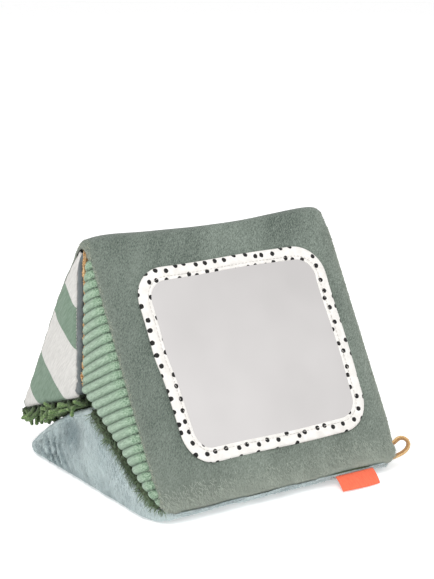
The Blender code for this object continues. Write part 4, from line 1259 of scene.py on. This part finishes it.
# The studio: a pale floor that keeps a faint shadow, soft light from all round and a camera at the
# photograph's own angle. The backdrop is plain white to the camera and in the mirror.
TARGET = Vector((0.0067, 0.0, 0.1289))
AZIMUTH = math.radians(-33.66)
ELEVATION = math.radians(14.79)
DISTANCE = 1.2994
LENS = 111.9
FLOOR_HALF = 3
camera = bpy.data.objects.new("camera", bpy.data.cameras.new("camera"))
bpy.context.scene.collection.objects.link(camera)
camera.data.lens = LENS
towards = Vector((
    math.sin(AZIMUTH) * math.cos(ELEVATION), -math.cos(AZIMUTH) * math.cos(ELEVATION), math.sin(ELEVATION),
))
camera.location = TARGET + towards * DISTANCE
camera.rotation_euler = (math.pi / 2 - ELEVATION, 0, AZIMUTH)
bpy.context.scene.camera = camera


def seen_as(tree, rays, shown, otherwise, output):
    """Shows one shader to the kinds of ray named, and another to every other ray."""
    path = tree.nodes.new("ShaderNodeLightPath")
    either = tree.nodes.new("ShaderNodeMath")
    either.operation = "MAXIMUM"
    for socket, ray in zip(either.inputs, rays):
        tree.links.new(path.outputs[ray], socket)
    swap = tree.nodes.new("ShaderNodeMixShader")
    for socket, source in zip(swap.inputs, (either, otherwise, shown)):
        tree.links.new(source.outputs[0], socket)
    tree.links.new(swap.outputs[0], output.inputs[0])


paper = Finish("paper", 0.9)
paper.shader.inputs["Base Color"].default_value = (0.85, 0.85, 0.85, 1)
glow = paper.node("Emission", {"Color": (1, 1, 1, 1), "Strength": 0.45})
bright_paper = paper.node("AddShader", {0: glow.outputs[0], 1: paper.shader.outputs[0]})
seen_as(paper.tree, ("Is Camera Ray",), bright_paper, paper.shader, paper.tree.nodes["Material Output"])
corners = [(-FLOOR_HALF, -FLOOR_HALF, 0), (FLOOR_HALF, -FLOOR_HALF, 0)]
corners += [(FLOOR_HALF, FLOOR_HALF, 0), (-FLOOR_HALF, FLOOR_HALF, 0)]
piece("floor", corners, [(0, 1, 2, 3)], paper, None)

world = bpy.data.worlds.new("studio")
bpy.context.scene.world = world
world.use_nodes = True
sky = world.node_tree.nodes["Background"]
sky.inputs["Color"].default_value = (1, 1, 1, 1)
sky.inputs["Strength"].default_value = 0.56
backdrop = world.node_tree.nodes.new("ShaderNodeBackground")
backdrop.inputs["Color"].default_value = (1, 1, 1, 1)
backdrop.inputs["Strength"].default_value = 1.0
rays = ("Is Camera Ray", "Is Glossy Ray")
seen_as(world.node_tree, rays, backdrop, sky, world.node_tree.nodes["World Output"])

for name, place, size, power in (
    ("key", (-0.9, -1.3, 1.7), 1.1, 26),
    ("fill", (1.9, -0.3, 1.2), 1.0, 7),
    ("side", (-1.8, 0.3, 0.9), 1.2, 7),
):
    lamp = bpy.data.lights.new(name, "AREA")
    lamp.size = size
    lamp.energy = power
    light = bpy.data.objects.new(name, lamp)
    light.location = place
    light.rotation_euler = (Vector((0, 0, 0.08)) - Vector(place)).to_track_quat("-Z", "Y").to_euler()
    bpy.context.scene.collection.objects.link(light)
bpy.context.scene.view_settings.view_transform = "Standard"
